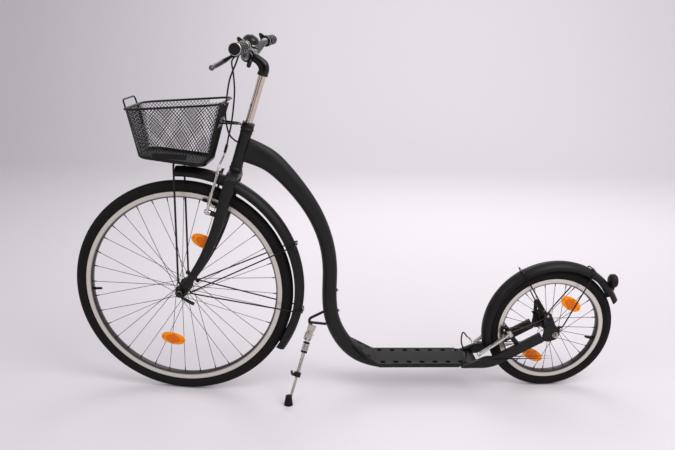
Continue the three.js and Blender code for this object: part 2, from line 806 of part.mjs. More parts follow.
// A brake stud: a thick boss, the pin that an arm turns on and the bolt's head.
function brakeBoss(side, place) {
  const at = (x) => place(vec(x, side * bossSpread, 0));
  const pinEnd = -bossLength - brakeSleeveLength - 2 * fitGap;
  return [rod(at(-bossRadius), at(-bossLength), bossRadius, 10), rod(at(bossRadius - bossLength),
    at(pinEnd), brakeBoltRadius, 8),
    rod(at(pinEnd), at(pinEnd - brakeBoltLength), brakeBoltHead, 6)];
}

function fork() {
  const steerer = turned(tubeProfile(steererRadius, steererBore, crownTop, lockNutTop), headSides,
    { upright: true });
  const root = rod(vec(0, 0, crownTop - crownHeight / 2), vec(0, 0, crownTop + fitGap), steererRadius,
    headSides);
  const lift = (point) => point.clone().setZ(point.z + bossHeight);
  return fuse(crown(), root, steerer, ...[-1, 1].flatMap((side) => [forkLeg(side), forkTip(side),
    ...brakeBoss(side, lift)]));
}

function lockNut() {
  const profile = tubeProfile(lockNutRadius, bored(steererRadius, headSides), bracketPlateTop + fitGap,
    lockNutTop);
  return turned(profile, headSides, { upright: true });
}

// The stem: its quill down in the steerer, a socket over it, a raised arm forward and a clamp round the bar.
function stem() {
  const socket = rod(vec(0, 0, stemSocketBottom), vec(0, 0, stemSocketTop), stemSocketRadius);
  const arm = ovalTube([vec(0, 0, stemSocketTop - stemArmDepth), vec(-stemReach / 2, 0, barHeight),
    vec(-stemReach, 0, barHeight)],
    [stemArmDepth, stemArmDepth, stemArmDepth], [stemArmWidth, stemArmWidth, stemArmWidth], 10);
  const clamp = rod(vec(-stemReach, -stemClampHalfLength, barHeight), vec(-stemReach, stemClampHalfLength,
    barHeight),
    stemClampRadius, 16);
  const lug = rod(vec(-stemReach + stemNotch, 0, barHeight), vec(-stemReach + stemNotch, 0,
    barHeight - stemBoltDrop),
    stemBoltRadius, 8);
  const cap = turned([[0, stemSocketTop], [stemSocketRadius, stemSocketTop], [0,
    stemSocketTop + stemNotch]], 12, { upright: true });
  const bore = rod(vec(-stemReach, -stemClampHalfLength - cutOverrun, barHeight),
    vec(-stemReach, stemClampHalfLength + cutOverrun, barHeight), bored(barCentreRadius, 16), 16);
  const quill = rod(vec(0, 0, lockNutTop - quillDepth), vec(0, 0, stemSocketBottom + stemNotch),
    quillRadius, headSides);
  return cut(fuse(quill, socket, cap, arm, clamp, lug), bore);
}

// The riser bar: straight in the clamp, up and slightly back, then straight through each grip.
const barPoint = (side, out, share) => vec(-stemReach + barSweep * share, side * out,
  barHeight + barRise * share);
const barEnd = (side) => barPoint(side, barHalfWidth, 1);
const barBend = (side) => barPoint(side, barBendOuter, 1);

function handlebar() {
  const line = [barEnd(-1), barBend(-1), barPoint(-1, barBendInner, 0), barPoint(1, barBendInner, 0),
    barBend(1), barEnd(1)];
  const centre = rod(barPoint(-1, barCentreHalfLength, 0), barPoint(1, barCentreHalfLength, 0),
    barCentreRadius, 16);
  return fuse(wire(line, barRadius, { bend: barBendRound, sides: barSides }), centre);
}

// A place on the bar, `inset` in from its end, as a group whose -Y points out along the grip on the left.
function barGroup(parent, side, inset) {
  const out = barEnd(side).sub(barBend(side)).normalize();
  const group = new THREE.Group();
  group.position.copy(barEnd(side).addScaledVector(out, -inset));
  group.quaternion.setFromUnitVectors(vec(0, side, 0), out);
  parent.add(group);
  return group;
}

function grip(side) {
  const bore = bored(barRadius, gripSides);
  const profile = [[0, fitGap], [0, gripEndWall], [gripRingRadius - gripEndWall / 2, gripEndWall],
    [gripRingRadius, fitGap], [gripRingRadius, -gripRingLength], [gripRadius, -gripRingLength],
    [gripRadius, -gripLength + gripFlangeLength], [gripFlangeRadius, -gripLength + gripFlangeLength],
    [gripFlangeRadius, -gripLength], [bore, -gripLength], [bore, fitGap]];
  return turned(profile.map(([radius, y]) => [radius, side * y]), gripSides);
}

// Brake levers lie in a plane through the bar, turned down in front of it. In that plane
// `reach` is measured from the bar and `out` toward the bar's end.
function leverPlane(parent, side) {
  const group = barGroup(parent, side, gripLength + leverInset + leverBandLength / 2);
  const plane = new THREE.Group();
  plane.rotation.y = rad(90 - leverDropDeg) - Math.PI;
  group.add(plane);
  return plane;
}

// In a lever's plane group, Z is the reach from the bar, Y runs along it and X is the pivot's axis.
function leverBracket(side) {
  const bore = bored(barRadius, gripSides);
  const band = turned(tubeProfile(leverBandRadius, bore, -leverBandLength / 2, leverBandLength / 2),
    gripSides);
  const half = leverForkGap / 2;
  const ear = (sign) => crossPlate([[-side * leverBandLength / 2, leverBandRadius - gripEndWall],
    [side * leverBandLength / 2, leverBandRadius - gripEndWall],
    [side * (leverPivotShift + leverBandLength / 2), leverPivotReach + leverPivotRadius],
    [side * (leverPivotShift - leverBandLength / 2), leverPivotReach + leverPivotRadius]],
  leverForkWall, sign * (half + leverForkWall / 2));
  const web = crossPlate([[-side * leverBandLength / 2, leverBandRadius - gripEndWall],
    [side * leverBandLength / 2, leverBandRadius - gripEndWall],
    [side * leverPivotShift, leverPivotReach - 2 * leverArmThickness - leverPivotRadius],
    [-side * leverBandLength / 2, leverPivotReach - leverArmThickness]], leverForkGap + leverForkWall, 0);
  const pin = rod(vec(-half - leverForkWall, side * leverPivotShift, leverPivotReach),
    vec(half + leverForkWall, side * leverPivotShift, leverPivotReach), leverPivotRadius, 8);
  const barrel = rod(vec(0, 0, barrelReach), barrelMouth(side, 0), barrelRadius, 8);
  return fuse(band, ear(-1), ear(1), web, pin, barrel);
}

// The end of the cable's barrel on a lever bracket, and places `step` cable radii out from it.
const barrelMouth = (side, step) => vec(0,
  -side * (leverBandLength / 4 + barrelLength + (step ? fitGap + (step - 1) * 4 * cableRadius : 0)),
    barrelReach);

// A point in a nested group, in the steering group.
function toSteering(place, point) {
  const out = point.clone();
  for (let group = place; group !== steering; group = group.parent) {
    group.updateMatrix();
    out.applyMatrix4(group.matrix);
  }
  return out;
}

function brakeLever(side) {
  const pivot = [side * leverPivotShift, leverPivotReach];
  const place = ([along, across]) => [pivot[0] + side * leverLength * along,
    pivot[1] + (leverTipReach - leverPivotReach) * across];
  const line = leverBladeShares.map(place);
  const thickness = leverForkGap - 2 * fitGap;
  const blade = crossPlate(strip(line, leverArmThickness), leverBladeWidth, 0);
  const neck = crossPlate(strip([pivot, line[0], line[1]], leverArmThickness + leverForkWall), thickness, 0);
  const root = crossPlate(disc(...pivot, leverPivotRadius + leverForkWall, 8), thickness, 0);
  const tip = line[line.length - 1];
  const ball = solid(new THREE.SphereGeometry(leverTipRadius, 8, 5).translate(0, ...tip));
  const pinHole = rod(vec(-leverBladeWidth, ...pivot), vec(leverBladeWidth, ...pivot),
    bored(leverPivotRadius, 8), 8);
  return cut(fuse(blade, neck, root, ball), pinHole);
}

// A bell: a clamp band and post on the bar, a thin dome on top, and a thumb lever that turns on the post.
function bell() {
  const bore = bored(barRadius, gripSides);
  const band = turned(tubeProfile(bellBandRadius, bore, -bellBandLength / 2, bellBandLength / 2), gripSides);
  const post = rod(vec(0, 0, bellBandRadius - gripEndWall), vec(0, 0,
    bellPostHeight + bellHeight - bellWall), bellPostRadius, 8);
  const base = rod(vec(0, 0, bellPostHeight - bellBaseHeight), vec(0, 0, bellPostHeight), bellBaseRadius);
  const turns = [0, 35, 65, 90];
  const arc = (radius, height) => turns.map((turn) => [radius * Math.cos(rad(turn)),
    bellPostHeight + height * Math.sin(rad(turn))]);
  const outer = arc(bellRadius, bellHeight);
  const inner = arc(bellRadius - bellWall, bellHeight - bellWall).reverse();
  return fuse(band, post, base, turned([...outer, ...inner], 12, { upright: true }));
}

function bellThumb() {
  const bore = bored(bellPostRadius, 10);
  const ring = turned(tubeProfile(bellThumbRing, bore, bellThumbLift, bellThumbLift + bellThumbHeight), 10,
    { upright: true });
  const paddle = box([bellThumbRing - gripEndWall / 2, bellThumbLength], [-bellThumbWidth / 2,
    bellThumbWidth / 2],
    [bellThumbLift, bellThumbLift + bellThumbHeight]);
  return fuse(ring, cut(paddle, rod(vec(0, 0, 0), vec(0, 0, bellPostHeight), bore, 10)));
}

// The quick release's lever and its cam, in a group on the cam's centre: X runs out along the lever.
function quickLever() {
  const cam = rod(vec(0, 0, -quickCamLength / 2), vec(0, 0, quickCamLength / 2), quickCamRadius, 16);
  const line = [[0, 0], [quickLeverLength / 3, -quickLeverLean], [quickLeverLength, -quickLeverLean]];
  const handle = flatPlate(strip(line, quickLeverThickness), -quickLeverWidth / 2, quickLeverWidth);
  return fuse(cam, handle);
}

// Brakes. In a brake's own group the studs point along -X, the arms stand up along Z
// and the wheel's centre lies at `wheelCentre` in X and Z.
const armPlateAt = -(bossLength + fitGap + brakeSleeveLength - brakeArmThickness / 2);
const armShareY = (share) => bossSpread + brakeArmBow
  + (brakeTopSpread - bossSpread - brakeArmBow) * Math.max(0, 2 * share - 1);

// A bent pipe that leads the cable into one arm's top; it rises along `up` from there.
function noodle(side, spread, rise, up) {
  const foot = vec(armPlateAt, 0, brakeArmLength);
  const points = [foot.clone().setY(side * (brakeTopSpread + brakeArmWidth / 4)), ...noodleShares.map(([out,
    high]) => (
    foot.clone().addScaledVector(up,
      rise * high).setY(side * (spread + (noodleOuterSpread - spread) * out))))];
  return { pipe: cable(points, noodleRadius, noodleSteps), end: points[points.length - 1] };
}

function brakeArm(side, pipe) {
  const line = [[bossSpread, 0], [armShareY(0), brakeArmLength / 4], [armShareY(0), brakeArmLength / 2],
    [brakeTopSpread, brakeArmLength]].map(([y, z]) => [side * y, z]);
  const plate = crossPlate(strip(line, brakeArmWidth), brakeArmThickness, armPlateAt);
  const pivot = (x) => vec(x, side * bossSpread, 0);
  const sleeve = rod(pivot(-bossLength - fitGap), pivot(-bossLength - fitGap - brakeSleeveLength),
    brakePivotSleeve, 10);
  const bore = rod(pivot(0), pivot(-bossLength - fitGap - brakeSleeveLength - cutOverrun),
    bored(brakeBoltRadius, 8), 8);
  const top = rod(vec(armPlateAt, side * (brakeTopSpread - brakeArmWidth / 2), brakeArmLength),
    vec(armPlateAt, side * (brakeTopSpread + brakeArmWidth / 2), brakeArmLength), brakeTopRadius, 8);
  const slots = brakeSlotShares.map(([low, high]) => crossPlate(strip([[side * armShareY(low),
    brakeArmLength * low],
    [side * armShareY(high), brakeArmLength * high]], brakeSlotWidth), brakeArmThickness + cutOverrun,
      armPlateAt));
  return cut(pipe ? fuse(plate, sleeve, top, pipe) : fuse(plate, sleeve, top), bore, ...slots);
}

// A pad follows the rim's brake track, with a stud back to its arm.
function brakePad(side, wheelCentre, seat) {
  const track = seat - padTrackDrop;
  const middle = Math.acos((armPlateAt - wheelCentre[0]) / track);
  const half = padLength / 2 / track;
  const line = [-1, -0.5, 0, 0.5, 1].map((share) => [
    wheelCentre[0] + track * Math.cos(middle + half * share),
      wheelCentre[1] + track * Math.sin(middle + half * share)]);
  const inner = rimHalfWidth + padGap;
  const block = sidePlate(strip(line, padHeight), padThickness, side * (inner + padThickness / 2));
  const height = line[2][1];
  const at = (y) => vec(armPlateAt, side * y, height);
  const armSide = bossSpread + brakeArmBow * Math.min(1,
    (height - padStudRadius) / (brakeArmLength / 4)) - brakeArmWidth / 2;
  const stud = rod(at(inner + padThickness / 2), at(armSide - 2 * fitGap), padStudRadius, 8);
  return fuse(block, stud);
}

// The bare wire between the arms' tops, in its rubber boot.
function brakeWire(bootSide) {
  const half = brakeTopSpread - brakeArmWidth / 2 - fitGap;
  const at = (y) => vec(armPlateAt, y, brakeArmLength);
  const boot = rod(at(bootSide * half), at((-bootSide * half) / 4), bootRadius, 10);
  return fuse(boot, rod(at(0), at(-bootSide * half), wireRadius, 6));
}

function addBrake(parent, end, arms, noodlePipe, noodleSide, wheelCentre, seat) {
  arms.forEach(([name, side]) => {
    addPiece(parent, `${end}_brake_arm_${name}`, alloy, brakeArm(side,
      side === noodleSide ? noodlePipe : null));
    addPiece(parent, `${end}_brake_pad_${name}`, rubber, brakePad(side, wheelCentre, seat));
  });
  addPiece(parent, `${end}_brake_wire`, rubber, brakeWire(noodleSide));
}

// Fenders

function fenderSection() {
  const half = (width, depth, top) => fenderSectionShares.map((share) => [
    top - depth * (1 - Math.sqrt(1 - share * share)), share * width]);
  return [...half(fenderHalfWidth, fenderDepth, 0),
    ...half(fenderHalfWidth - fenderWall, fenderDepth - fenderWall, -fenderWall).reverse()];
}

const arcPoint = (centre, radius, turnDeg, y = 0) => vec(
  centre.x + radius * Math.cos(rad(turnDeg)), y, centre.z + radius * Math.sin(rad(turnDeg)));

function fender(centre, radius, [fromDeg, toDeg]) {
  const steps = Math.ceil(Math.abs(toDeg - fromDeg) / fenderStepDeg);
  return sweep(fenderSection(), Array.from({ length: steps + 1 }, (_, i) => {
    const turnDeg = fromDeg + ((toDeg - fromDeg) * i) / steps;
    return { at: arcPoint(centre, radius, turnDeg), across: arcPoint(vec(0, 0, 0), 1, turnDeg),
      beside: vec(0, 1, 0) };
  }));
}

// A fender stay: one bent wire from an eye on one side over the fender to the eye on the other.
function fenderStay(eye, seatSide, centre, radius, turnDeg) {
  const side = fenderHalfWidth + fitGap + fenderStayRadius;
  const over = radius + fitGap + fenderStayRadius;
  const toFender = arcPoint(centre, radius, turnDeg).sub(vec(eye[0], 0,
    eye[1])).setLength(fenderStayShoulder);
  const half = (sign) => {
    const foot = vec(eye[0], sign * (seatSide + fenderStayRadius), eye[1]);
    return [foot, foot.clone().add(toFender), arcPoint(centre, radius - fenderDepth, turnDeg, sign * side),
      arcPoint(centre, over, turnDeg, sign * side)];
  };
  const washer = (sign) => rod(vec(eye[0], sign * seatSide, eye[1]), vec(eye[0],
    sign * (seatSide + stayEyeThickness), eye[1]),
    stayEyeRadius, 8);
  return fuse(wire([...half(-1), ...half(1).reverse()], fenderStayRadius, { bend: fenderStayBend }),
    washer(-1), washer(1));
}

// Basket, in a group on its rim's centre: X runs along its length and Z stands square to its floor.
// A height runs from 0 at the sloping rim to -basketDepth at the level floor.
const basketMix = (top, bottom, height) => top + ((bottom - top) * -height) / basketDepth;
const basketLift = (x, height) => height + Math.tan(rad(basketRimSlopeDeg)) * x * (1 + height / basketDepth);
const basketEnd = (sign, height) => basketMix(0, basketBottomShift, height)
  + (sign * basketMix(basketTopLength, basketBottomLength, height)) / 2;

function basketRing(height, inset) {
  const width = basketMix(basketTopWidth, basketBottomWidth, height) / 2 - inset;
  const corner = basketCorner - inset;
  return [[1, 1], [-1, 1], [-1, -1], [1, -1]].flatMap(([x, y], quarter) => [0, 1, 2, 3].map((step) => {
    const turn = (Math.PI / 2) * (quarter + step / 3);
    return [basketEnd(x, height) - x * (inset + corner) + corner * Math.cos(turn),
      y * (width - corner) + corner * Math.sin(turn)];
  }));
}

function basketBlock(low, high, inset) {
  const ring = (height) => basketRing(height, inset).map(([x, y]) => vec(x, y, basketLift(x, height)));
  return loft([ring(low), ring(high)], basketRing(low, inset));
}

// Staggered diamond gaps between the band at the foot and the rim, as centres with their four corners.
function netGaps(range) {
  const top = -basketRimHeight - basketNetMargin;
  const bottom = -basketDepth + basketBandHeight + basketNetMargin;
  const rows = Math.floor((top - bottom) / netRowPitch) + 1;
  const spare = (top - bottom - (rows - 1) * netRowPitch) / 2;
  const halfWidth = (netPitch - netStrand) / 2;
  const halfHeight = (halfWidth * netRowPitch * 2) / netPitch;
  const corner = basketCorner * netCornerShare + halfWidth;
  return Array.from({ length: rows }, (_, row) => {
    const height = top - spare - row * netRowPitch;
    const [low, high] = range(height);
    const start = (low + high) / 2 + (row % 2 ? netPitch / 2 : 0);
    const back = Math.floor((start - low - corner) / netPitch);
    const ahead = Math.floor((high - corner - start) / netPitch);
    return Array.from({ length: back + ahead + 1 }, (_unused, i) => start + (i - back) * netPitch)
      .map((at) => [[at - halfWidth, height], [at, height - halfHeight], [at + halfWidth, height], [at,
        height + halfHeight]]);
  }).flat();
}

function basket() {
  const body = fuse(basketBlock(-basketDepth, 0, 0), basketBlock(-basketRimHeight, 0, -basketRimWidth));
  const hollow = basketBlock(-basketDepth + basketWall, cutOverrun, basketWall);
  const long = netGaps((height) => [basketEnd(-1, height), basketEnd(1, height)])
    .map((gap) => sidePlate(gap.map(([x, height]) => [x, basketLift(x, height)]),
      basketTopWidth + cutOverrun, 0));
  const across = [-1, 1].flatMap((end) => netGaps((height) => [-1, 1].map((sign) => (
    (sign * basketMix(basketTopWidth, basketBottomWidth, height)) / 2))).map((gap) => {
    const wall = (height) => basketEnd(end, height);
    return crossPlate(gap.map(([y, height]) => [y, basketLift(wall(height), height)]), 2 * netCutReach,
      wall(gap[0][1]));
  }));
  return fuse(cut(body, hollow, ...long, ...across), basketLoop());
}

// The wire loop that runs up the front wall and stands off the rim.
function basketLoop() {
  const leg = (height, out, rise) => [basketEnd(-1, height) - out, basketLift(basketEnd(-1, height),
    height) + rise];
  const line = [leg(-basketLoopLegs, basketLoopRadius / 2, 0),
    leg(-basketRimHeight, basketRimWidth + basketLoopRadius / 2, 0), leg(0,
      basketRimWidth + basketLoopStand, basketLoopRise)];
  const side = (sign) => line.map(([x, z]) => vec(x, (sign * basketLoopWidth) / 2, z));
  return wire([...side(-1), ...side(1).reverse()], basketLoopRadius, { bend: basketLoopRadius * 3 });
}

// A point given in the basket's group, in the steering group.
const fromBasket = (point) => point.clone().applyAxisAngle(vec(0, 1, 0), -rad(basketTiltDeg))
  .add(vec(basketCentreBack, 0, basketCentreHeight));

// One bent rod from the fork's near tip, under the basket's floor and down to the far tip.
function basketStay() {
  const seat = staySide + basketStayRadius;
  const top = fromBasket(vec(basketStayBack, 0, -basketDepth - fitGap - basketStayRadius));
  const foot = (side) => basketStayFoot.clone().setY(side * seat);
  const washer = (side) => rod(foot(side).setY(side * staySide),
    foot(side).setY(side * (seat + basketStayRadius)), stayEyeRadius, 8);
  const bent = wire([foot(-1), top.clone().setY(-seat), top.clone().setY(seat), foot(1)], basketStayRadius,
    { bend: basketStayBend, sides: 6 });
  return fuse(bent, washer(-1), washer(1));
}

// The bracket clamped in the headset: two rods forward to a plate on the basket's back wall.
function basketBracket() {
  const low = upperCupTop + fitGap;
  const tongueEnd = -lockNutRadius - basketTongueLength;
  const clamp = turned(tubeProfile(lockNutRadius, bored(steererRadius, headSides), low, low + bracketPlate),
    headSides, { upright: true });
  const tongueHalf = lockNutRadius / 2 + basketRodRadius;
  const tongue = box([tongueEnd, -steererRadius - bracketPlate], [-tongueHalf, tongueHalf], [low,
    low + bracketPlate]);
  const height = -basketRodDrop;
  const slope = Math.atan2(basketEnd(1, 0) - basketEnd(1, -basketDepth), basketDepth);
  const seat = (out) => vec(basketEnd(1, height) + out / Math.cos(slope), 0, basketLift(basketEnd(1,
    height), height));
  const rods = [-1, 1].map((side) => rod(vec(tongueEnd + basketRodRadius, (side * lockNutRadius) / 2,
    low + bracketPlate / 2),
    fromBasket(seat(2 * fitGap + basketPlateThickness / 2)).setY(side * basketRodSpread), basketRodRadius,
      6));
  const plate = new THREE.BoxGeometry(basketPlateThickness, basketPlateWidth,
    basketPlateHeight).rotateY(slope)
    .translate(...seat(2 * fitGap + basketPlateThickness / 2).toArray()).rotateY(-rad(basketTiltDeg))
    .translate(basketCentreBack, 0, basketCentreHeight);
  return fuse(clamp, tongue, ...rods, solid(plate));
}

// Frame

// The head tube with a cup pressed into each end; the cups stand out from its wall.
function headTube() {
  const tube = tubeProfile(headTubeRadius, headTubeBore, lowerCupTop - fitGap, headTubeTop + fitGap);
  const cup = (low) => [[headTubeBore, low], [cupSkirtRadius, low], [cupRadius, low + cupHeight / 4],
    [cupRadius, low + (cupHeight * 3) / 4], [cupSkirtRadius, low + cupHeight], [headTubeBore,
      low + cupHeight]];
  return fuse(...[cup(crownTop + fitGap), tube, cup(headTubeTop)].map((profile) => turned(profile,
    headSides, { upright: true })));
}

function mainLine() {
  const start = alongSteering(headTubeTop - mainStartDrop, mainStartBack);
  const endHeight = deckUnder - mainRearDepth / 2;
  const shared = mainLineShares.map(([along, up]) => vec(
    start.x + (deckRear - start.x) * along, 0, endHeight + (start.z - endHeight) * up));
  const under = (back, depth) => vec(back, 0, deckUnder - depth / 2);
  return [...shared, under(deckFront, mainUnderDepth), under(deckFront + mainUnderWidth, mainUnderDepth),
    under(deckRear, mainRearDepth)];
}

// The main tube: deep and narrow at the head, round down its front, then flat and wide under the footboard.
function mainBody(extra) {
  const half = (size) => size / 2 + extra;
  const depths = [...mainDepthShares.map((share) => share * mainTubeRadius + extra),
    half(mainUnderDepth), half(mainUnderDepth), half(mainRearDepth)];
  const widths = [...mainWidthShares.map((share) => share * mainTubeRadius + extra), ...[0, 1,
    2].map(() => half(mainUnderWidth))];
  return ovalTube(mainLine(), depths, widths, mainSides);
}

function mainTube() {
  const headSpace = rod(alongSteering(crownTop), alongSteering(upperCupTop + cutOverrun),
    bored(headTubeRadius, headSides), headSides);
  const line = mainLine();
  const bosses = bottleBossDrops.map((drop) => {
    const height = line[0].z - drop;
    const i = line.findIndex((point) => point.z < height);
    const at = line[i - 1].clone().lerp(line[i], (line[i - 1].z - height) / (line[i - 1].z - line[i].z));
    return rod(at, at.clone().setX(at.x + mainTubeRadius + bottleBossLength), bottleBossRadius, 8);
  });
  const yokeSide = stayHalfSpread - stayThickness / 2 - fitGap;
  const yoke = box([deckRear - yokeLap, deckRear + fitGap + yokeLength], [-yokeSide, yokeSide],
    [deckUnder - fitGap - yokeHeight, deckUnder - fitGap]);
  return fuse(cut(mainBody(0), headSpace), ...bosses, yoke);
}

// A slot with round ends, its length along the first axis.
function stadium(x, y, length, width) {
  const reach = (length - width) / 2;
  const end = (sign, from) => [30, 90, 150].map((turn) => [
    x + sign * reach + (width / 2) * Math.cos(rad(from + turn)),
      y + (width / 2) * Math.sin(rad(from + turn))]);
  return [...end(1, -90), ...end(-1, 90)];
}

function footboard() {
  const taper = deckRear - deckTaperLength;
  const outline = [[deckFront, -deckHalfWidth], [taper, -deckHalfWidth], [deckRear, -deckTaperWidth],
    [deckRear, deckTaperWidth], [taper, deckHalfWidth], [deckFront, deckHalfWidth]];
  const pitch = (deckLength - 2 * slotInset) / (slotCount - 1);
  const slots = [-1, 1].flatMap((side) => Array.from({ length: slotCount }, (_, i) => stadium(
    deckFront + slotInset + i * pitch, side * slotSpread, slotLength, slotWidth)));
  const flanges = [[-deckHalfWidth, deckThickness - deckHalfWidth], [deckHalfWidth - deckThickness,
    deckHalfWidth]]
    .map((sides) => box([deckFront, taper], sides, [deckTop - deckFlange, deckTop]));
  const slope = Math.hypot(rampLength, rampRise);
  const rampOutline = [[-slope, -rampTipHalfWidth], [0, -deckHalfWidth], [0, deckHalfWidth], [-slope,
    rampTipHalfWidth]];
  const rampSlots = [-1, 1].map((side) => stadium(-rampSlotBack, side * rampSlotSpread, slotLength,
    slotWidth));
  const ramp = new THREE.ExtrudeGeometry(shapeOf(rampOutline, rampSlots), { depth: deckThickness,
    bevelEnabled: false });
  ramp.translate(0, 0, -deckThickness).rotateY(Math.atan2(rampRise,
    rampLength)).translate(deckFront + rampLap, 0, deckTop);
  const sideSlots = Array.from({ length: sideSlotCount }, (_, i) => sidePlate(
    stadium(deckFront + slotInset + i * pitch, deckTop - (deckFlange + deckThickness) / 2, slotLength,
      sideSlotHeight),
    2 * deckHalfWidth + cutOverrun, 0));
  const plate = flatPlate(outline, deckTop - deckThickness, deckThickness, slots);
  return cut(fuse(plate, ...flanges, solid(ramp)), ...sideSlots, mainBody(fitGap * rampFitShare));
}

function stayLine() {
  const middle = stayBottom + stayDepth / 2;
  return [[deckRear - stayNose, middle], [wheelbase - stayBendToAxle, middle],
    [wheelbase - stayEndToAxle, rearTyreRadius - stayEndDrop]];
}

// Where the rear brake's own group lies: its studs stand off the stays and its arms run forward and down.
function rearBrakeMatrix() {
  const [, bend, end] = stayLine().map(([x, z]) => vec(x, 0, z));
  const along = end.clone().sub(bend).normalize();
  const origin = bend.clone().addScaledVector(along, rearBrakeAlong).addScaledVector(vec(-along.z, 0,
    along.x), rearBrakeRaise);
  const up = vec(Math.cos(rad(rearBrakeDeg)), 0, Math.sin(rad(rearBrakeDeg)));
  return new THREE.Matrix4().makeBasis(vec(-up.z, 0, up.x), vec(0, -1, 0), up).setPosition(origin);
}

const fromRearAxle = ([along, up]) => [wheelbase + along * dropoutLength,
  rearTyreRadius + up * dropoutHeight];

// A rear stay runs back from under the footboard and up, with its brake boss and a dropout plate that
// holds the axle and has eyes for the fender stays.
function rearStay(side) {
  const beam = sidePlate(strip(stayLine(), stayDepth), stayThickness, side * stayHalfSpread);
  const middle = side * (dropoutInner + dropoutPlate / 2);
  const plate = sidePlate(dropoutOutlineShares.map(fromRearAxle), dropoutPlate, middle);
  const eyes = rearStayEyeShares.map((eye) => sidePlate(disc(...fromRearAxle(eye),
    stayEyeRadius + stayEyeThickness, 8), dropoutPlate, middle));
  const deckSpace = box([deckRear - stayNose - cutOverrun, deckRear + fitGap],
    [side * stayHalfSpread - stayThickness, side * stayHalfSpread + stayThickness], [deckUnder,
      deckTop + stayDepth]);
  const axleHole = sidePlate(disc(wheelbase, rearTyreRadius, bored(hubAxleRadius, hubSides), hubSides),
    dropoutPlate + cutOverrun, middle);
  const matrix = rearBrakeMatrix();
  const sunk = (x) => (x > -bossLength ? x + rearBossSink : x);
  const place = (point) => point.clone().setX(sunk(point.x)).applyMatrix4(matrix);
  return fuse(cut(fuse(beam, plate, ...eyes), deckSpace, axleHole), ...brakeBoss(-side, place));
}

// The rear light: a domed housing on a short neck, with its lens on the back.
function rearLight() {
  const middle = lightBack - lightDepth / 2;
  const at = (x) => vec(x, 0, lightHeight);
  const body = rod(at(middle), at(middle + lightDepth), lightRadius, lightSides);
  const dome = rod(at(middle), at(middle - lightDomeDepth), lightRadius, lightSides, lightRadius / 2);
  const neck = box([middle - lightDomeDepth, middle + lightDepth], [-lightNeckHalf, lightNeckHalf],
    [lightHeight - lightRadius - 2 * lightNeckHalf, lightHeight]);
  const space = sidePlate(disc(wheelbase, rearTyreRadius, rearFenderRadius + fitGap, 90), 2 * lightRadius, 0);
  return cut(fuse(body, dome, neck), space);
}

function rearLens() {
  const start = lightBack + lightDepth / 2 + fitGap;
  const at = (x) => vec(x, 0, lightHeight);
  const rim = rod(at(start), at(start + lensThickness / 2), lightRadius - lensThickness / 2, lightSides);
  const face = rod(at(start + lensThickness / 2), at(start + lensThickness),
    lightRadius - lensThickness / 2, lightSides,
    lightRadius - lensThickness);
  return fuse(rim, face);
}

// Side stand. Its group lies on the hinge: Y along the hinge's pin, Z up and X back, so that the leg
// hangs in the YZ plane when it is down.
const scooterGround = (y) => -y * Math.tan(rad(standLeanDeg));

function standPlace(groundRise) {
  const pivot = vec(standPivotBack, -standPivotSide, standPivotHeight);
  const foot = vec(standFootBack, -standFootOut, scooterGround(-standFootOut) + groundRise);
  const down = foot.clone().sub(pivot).normalize();
  const spread = down.clone().sub(vec(...standFoldShares).normalize());
  const pin = vec(0, 1, 0).addScaledVector(spread, -spread.y / spread.lengthSq()).normalize();
  const up = pin.clone().multiplyScalar(down.dot(pin)).sub(down).normalize();
  const matrix = new THREE.Matrix4().makeBasis(pin.clone().cross(up), pin, up).setPosition(pivot);
  return { matrix, foot, leg: vec(0, down.dot(pin), -down.dot(up)).setZ(down.dot(up)),
    length: foot.distanceTo(pivot) };
}

// The hinge plate and pin, and the hoop that ties it to the front of the main tube.
function standBracket(matrix) {
  const at = (x, y, z) => vec(x, y, z).applyMatrix4(matrix);
  const plateBox = new THREE.BoxGeometry(2 * standPlateRadius, standPlateThickness, standPlateRise)
    .translate(0, 0, standPlateRise / 2).applyMatrix4(matrix);
  const eye = rod(at(0, -standPlateThickness / 2, 0), at(0, standPlateThickness / 2, 0), standPlateRadius,
    10);
  const pinHalf = standPlateThickness / 2 + fitGap + standEarThickness;
  const pin = rod(at(0, -pinHalf, 0), at(0, pinHalf, 0), standPinRadius, 8);
  const hoop = wire([vec(standPivotBack + hoopTubeReach, -hoopTubeSide, standPivotHeight + hoopTopRise),
    vec(standPivotBack, -hoopSide, standPivotHeight + hoopTopRise - hoopTopDrop),
    vec(standPivotBack, -hoopSide, standPivotHeight + hoopFootRise + hoopUnderDrop),
    vec(standPivotBack + hoopTubeReach, -hoopTubeSide, standPivotHeight + hoopFootRise)], hoopRadius,
  { bend: 2 * hoopRadius, sides: 6 });
  const arm = wire([vec(standPivotBack, -hoopSide, standPivotHeight + hoopTopRise - 1.5 * hoopTopDrop),
    at(0, 0, standPlateRise - hoopRadius)], hoopRadius, { sides: 6 });
  return cut(fuse(solid(plateBox), eye, pin, hoop, arm), mainBody(fitGap));
}

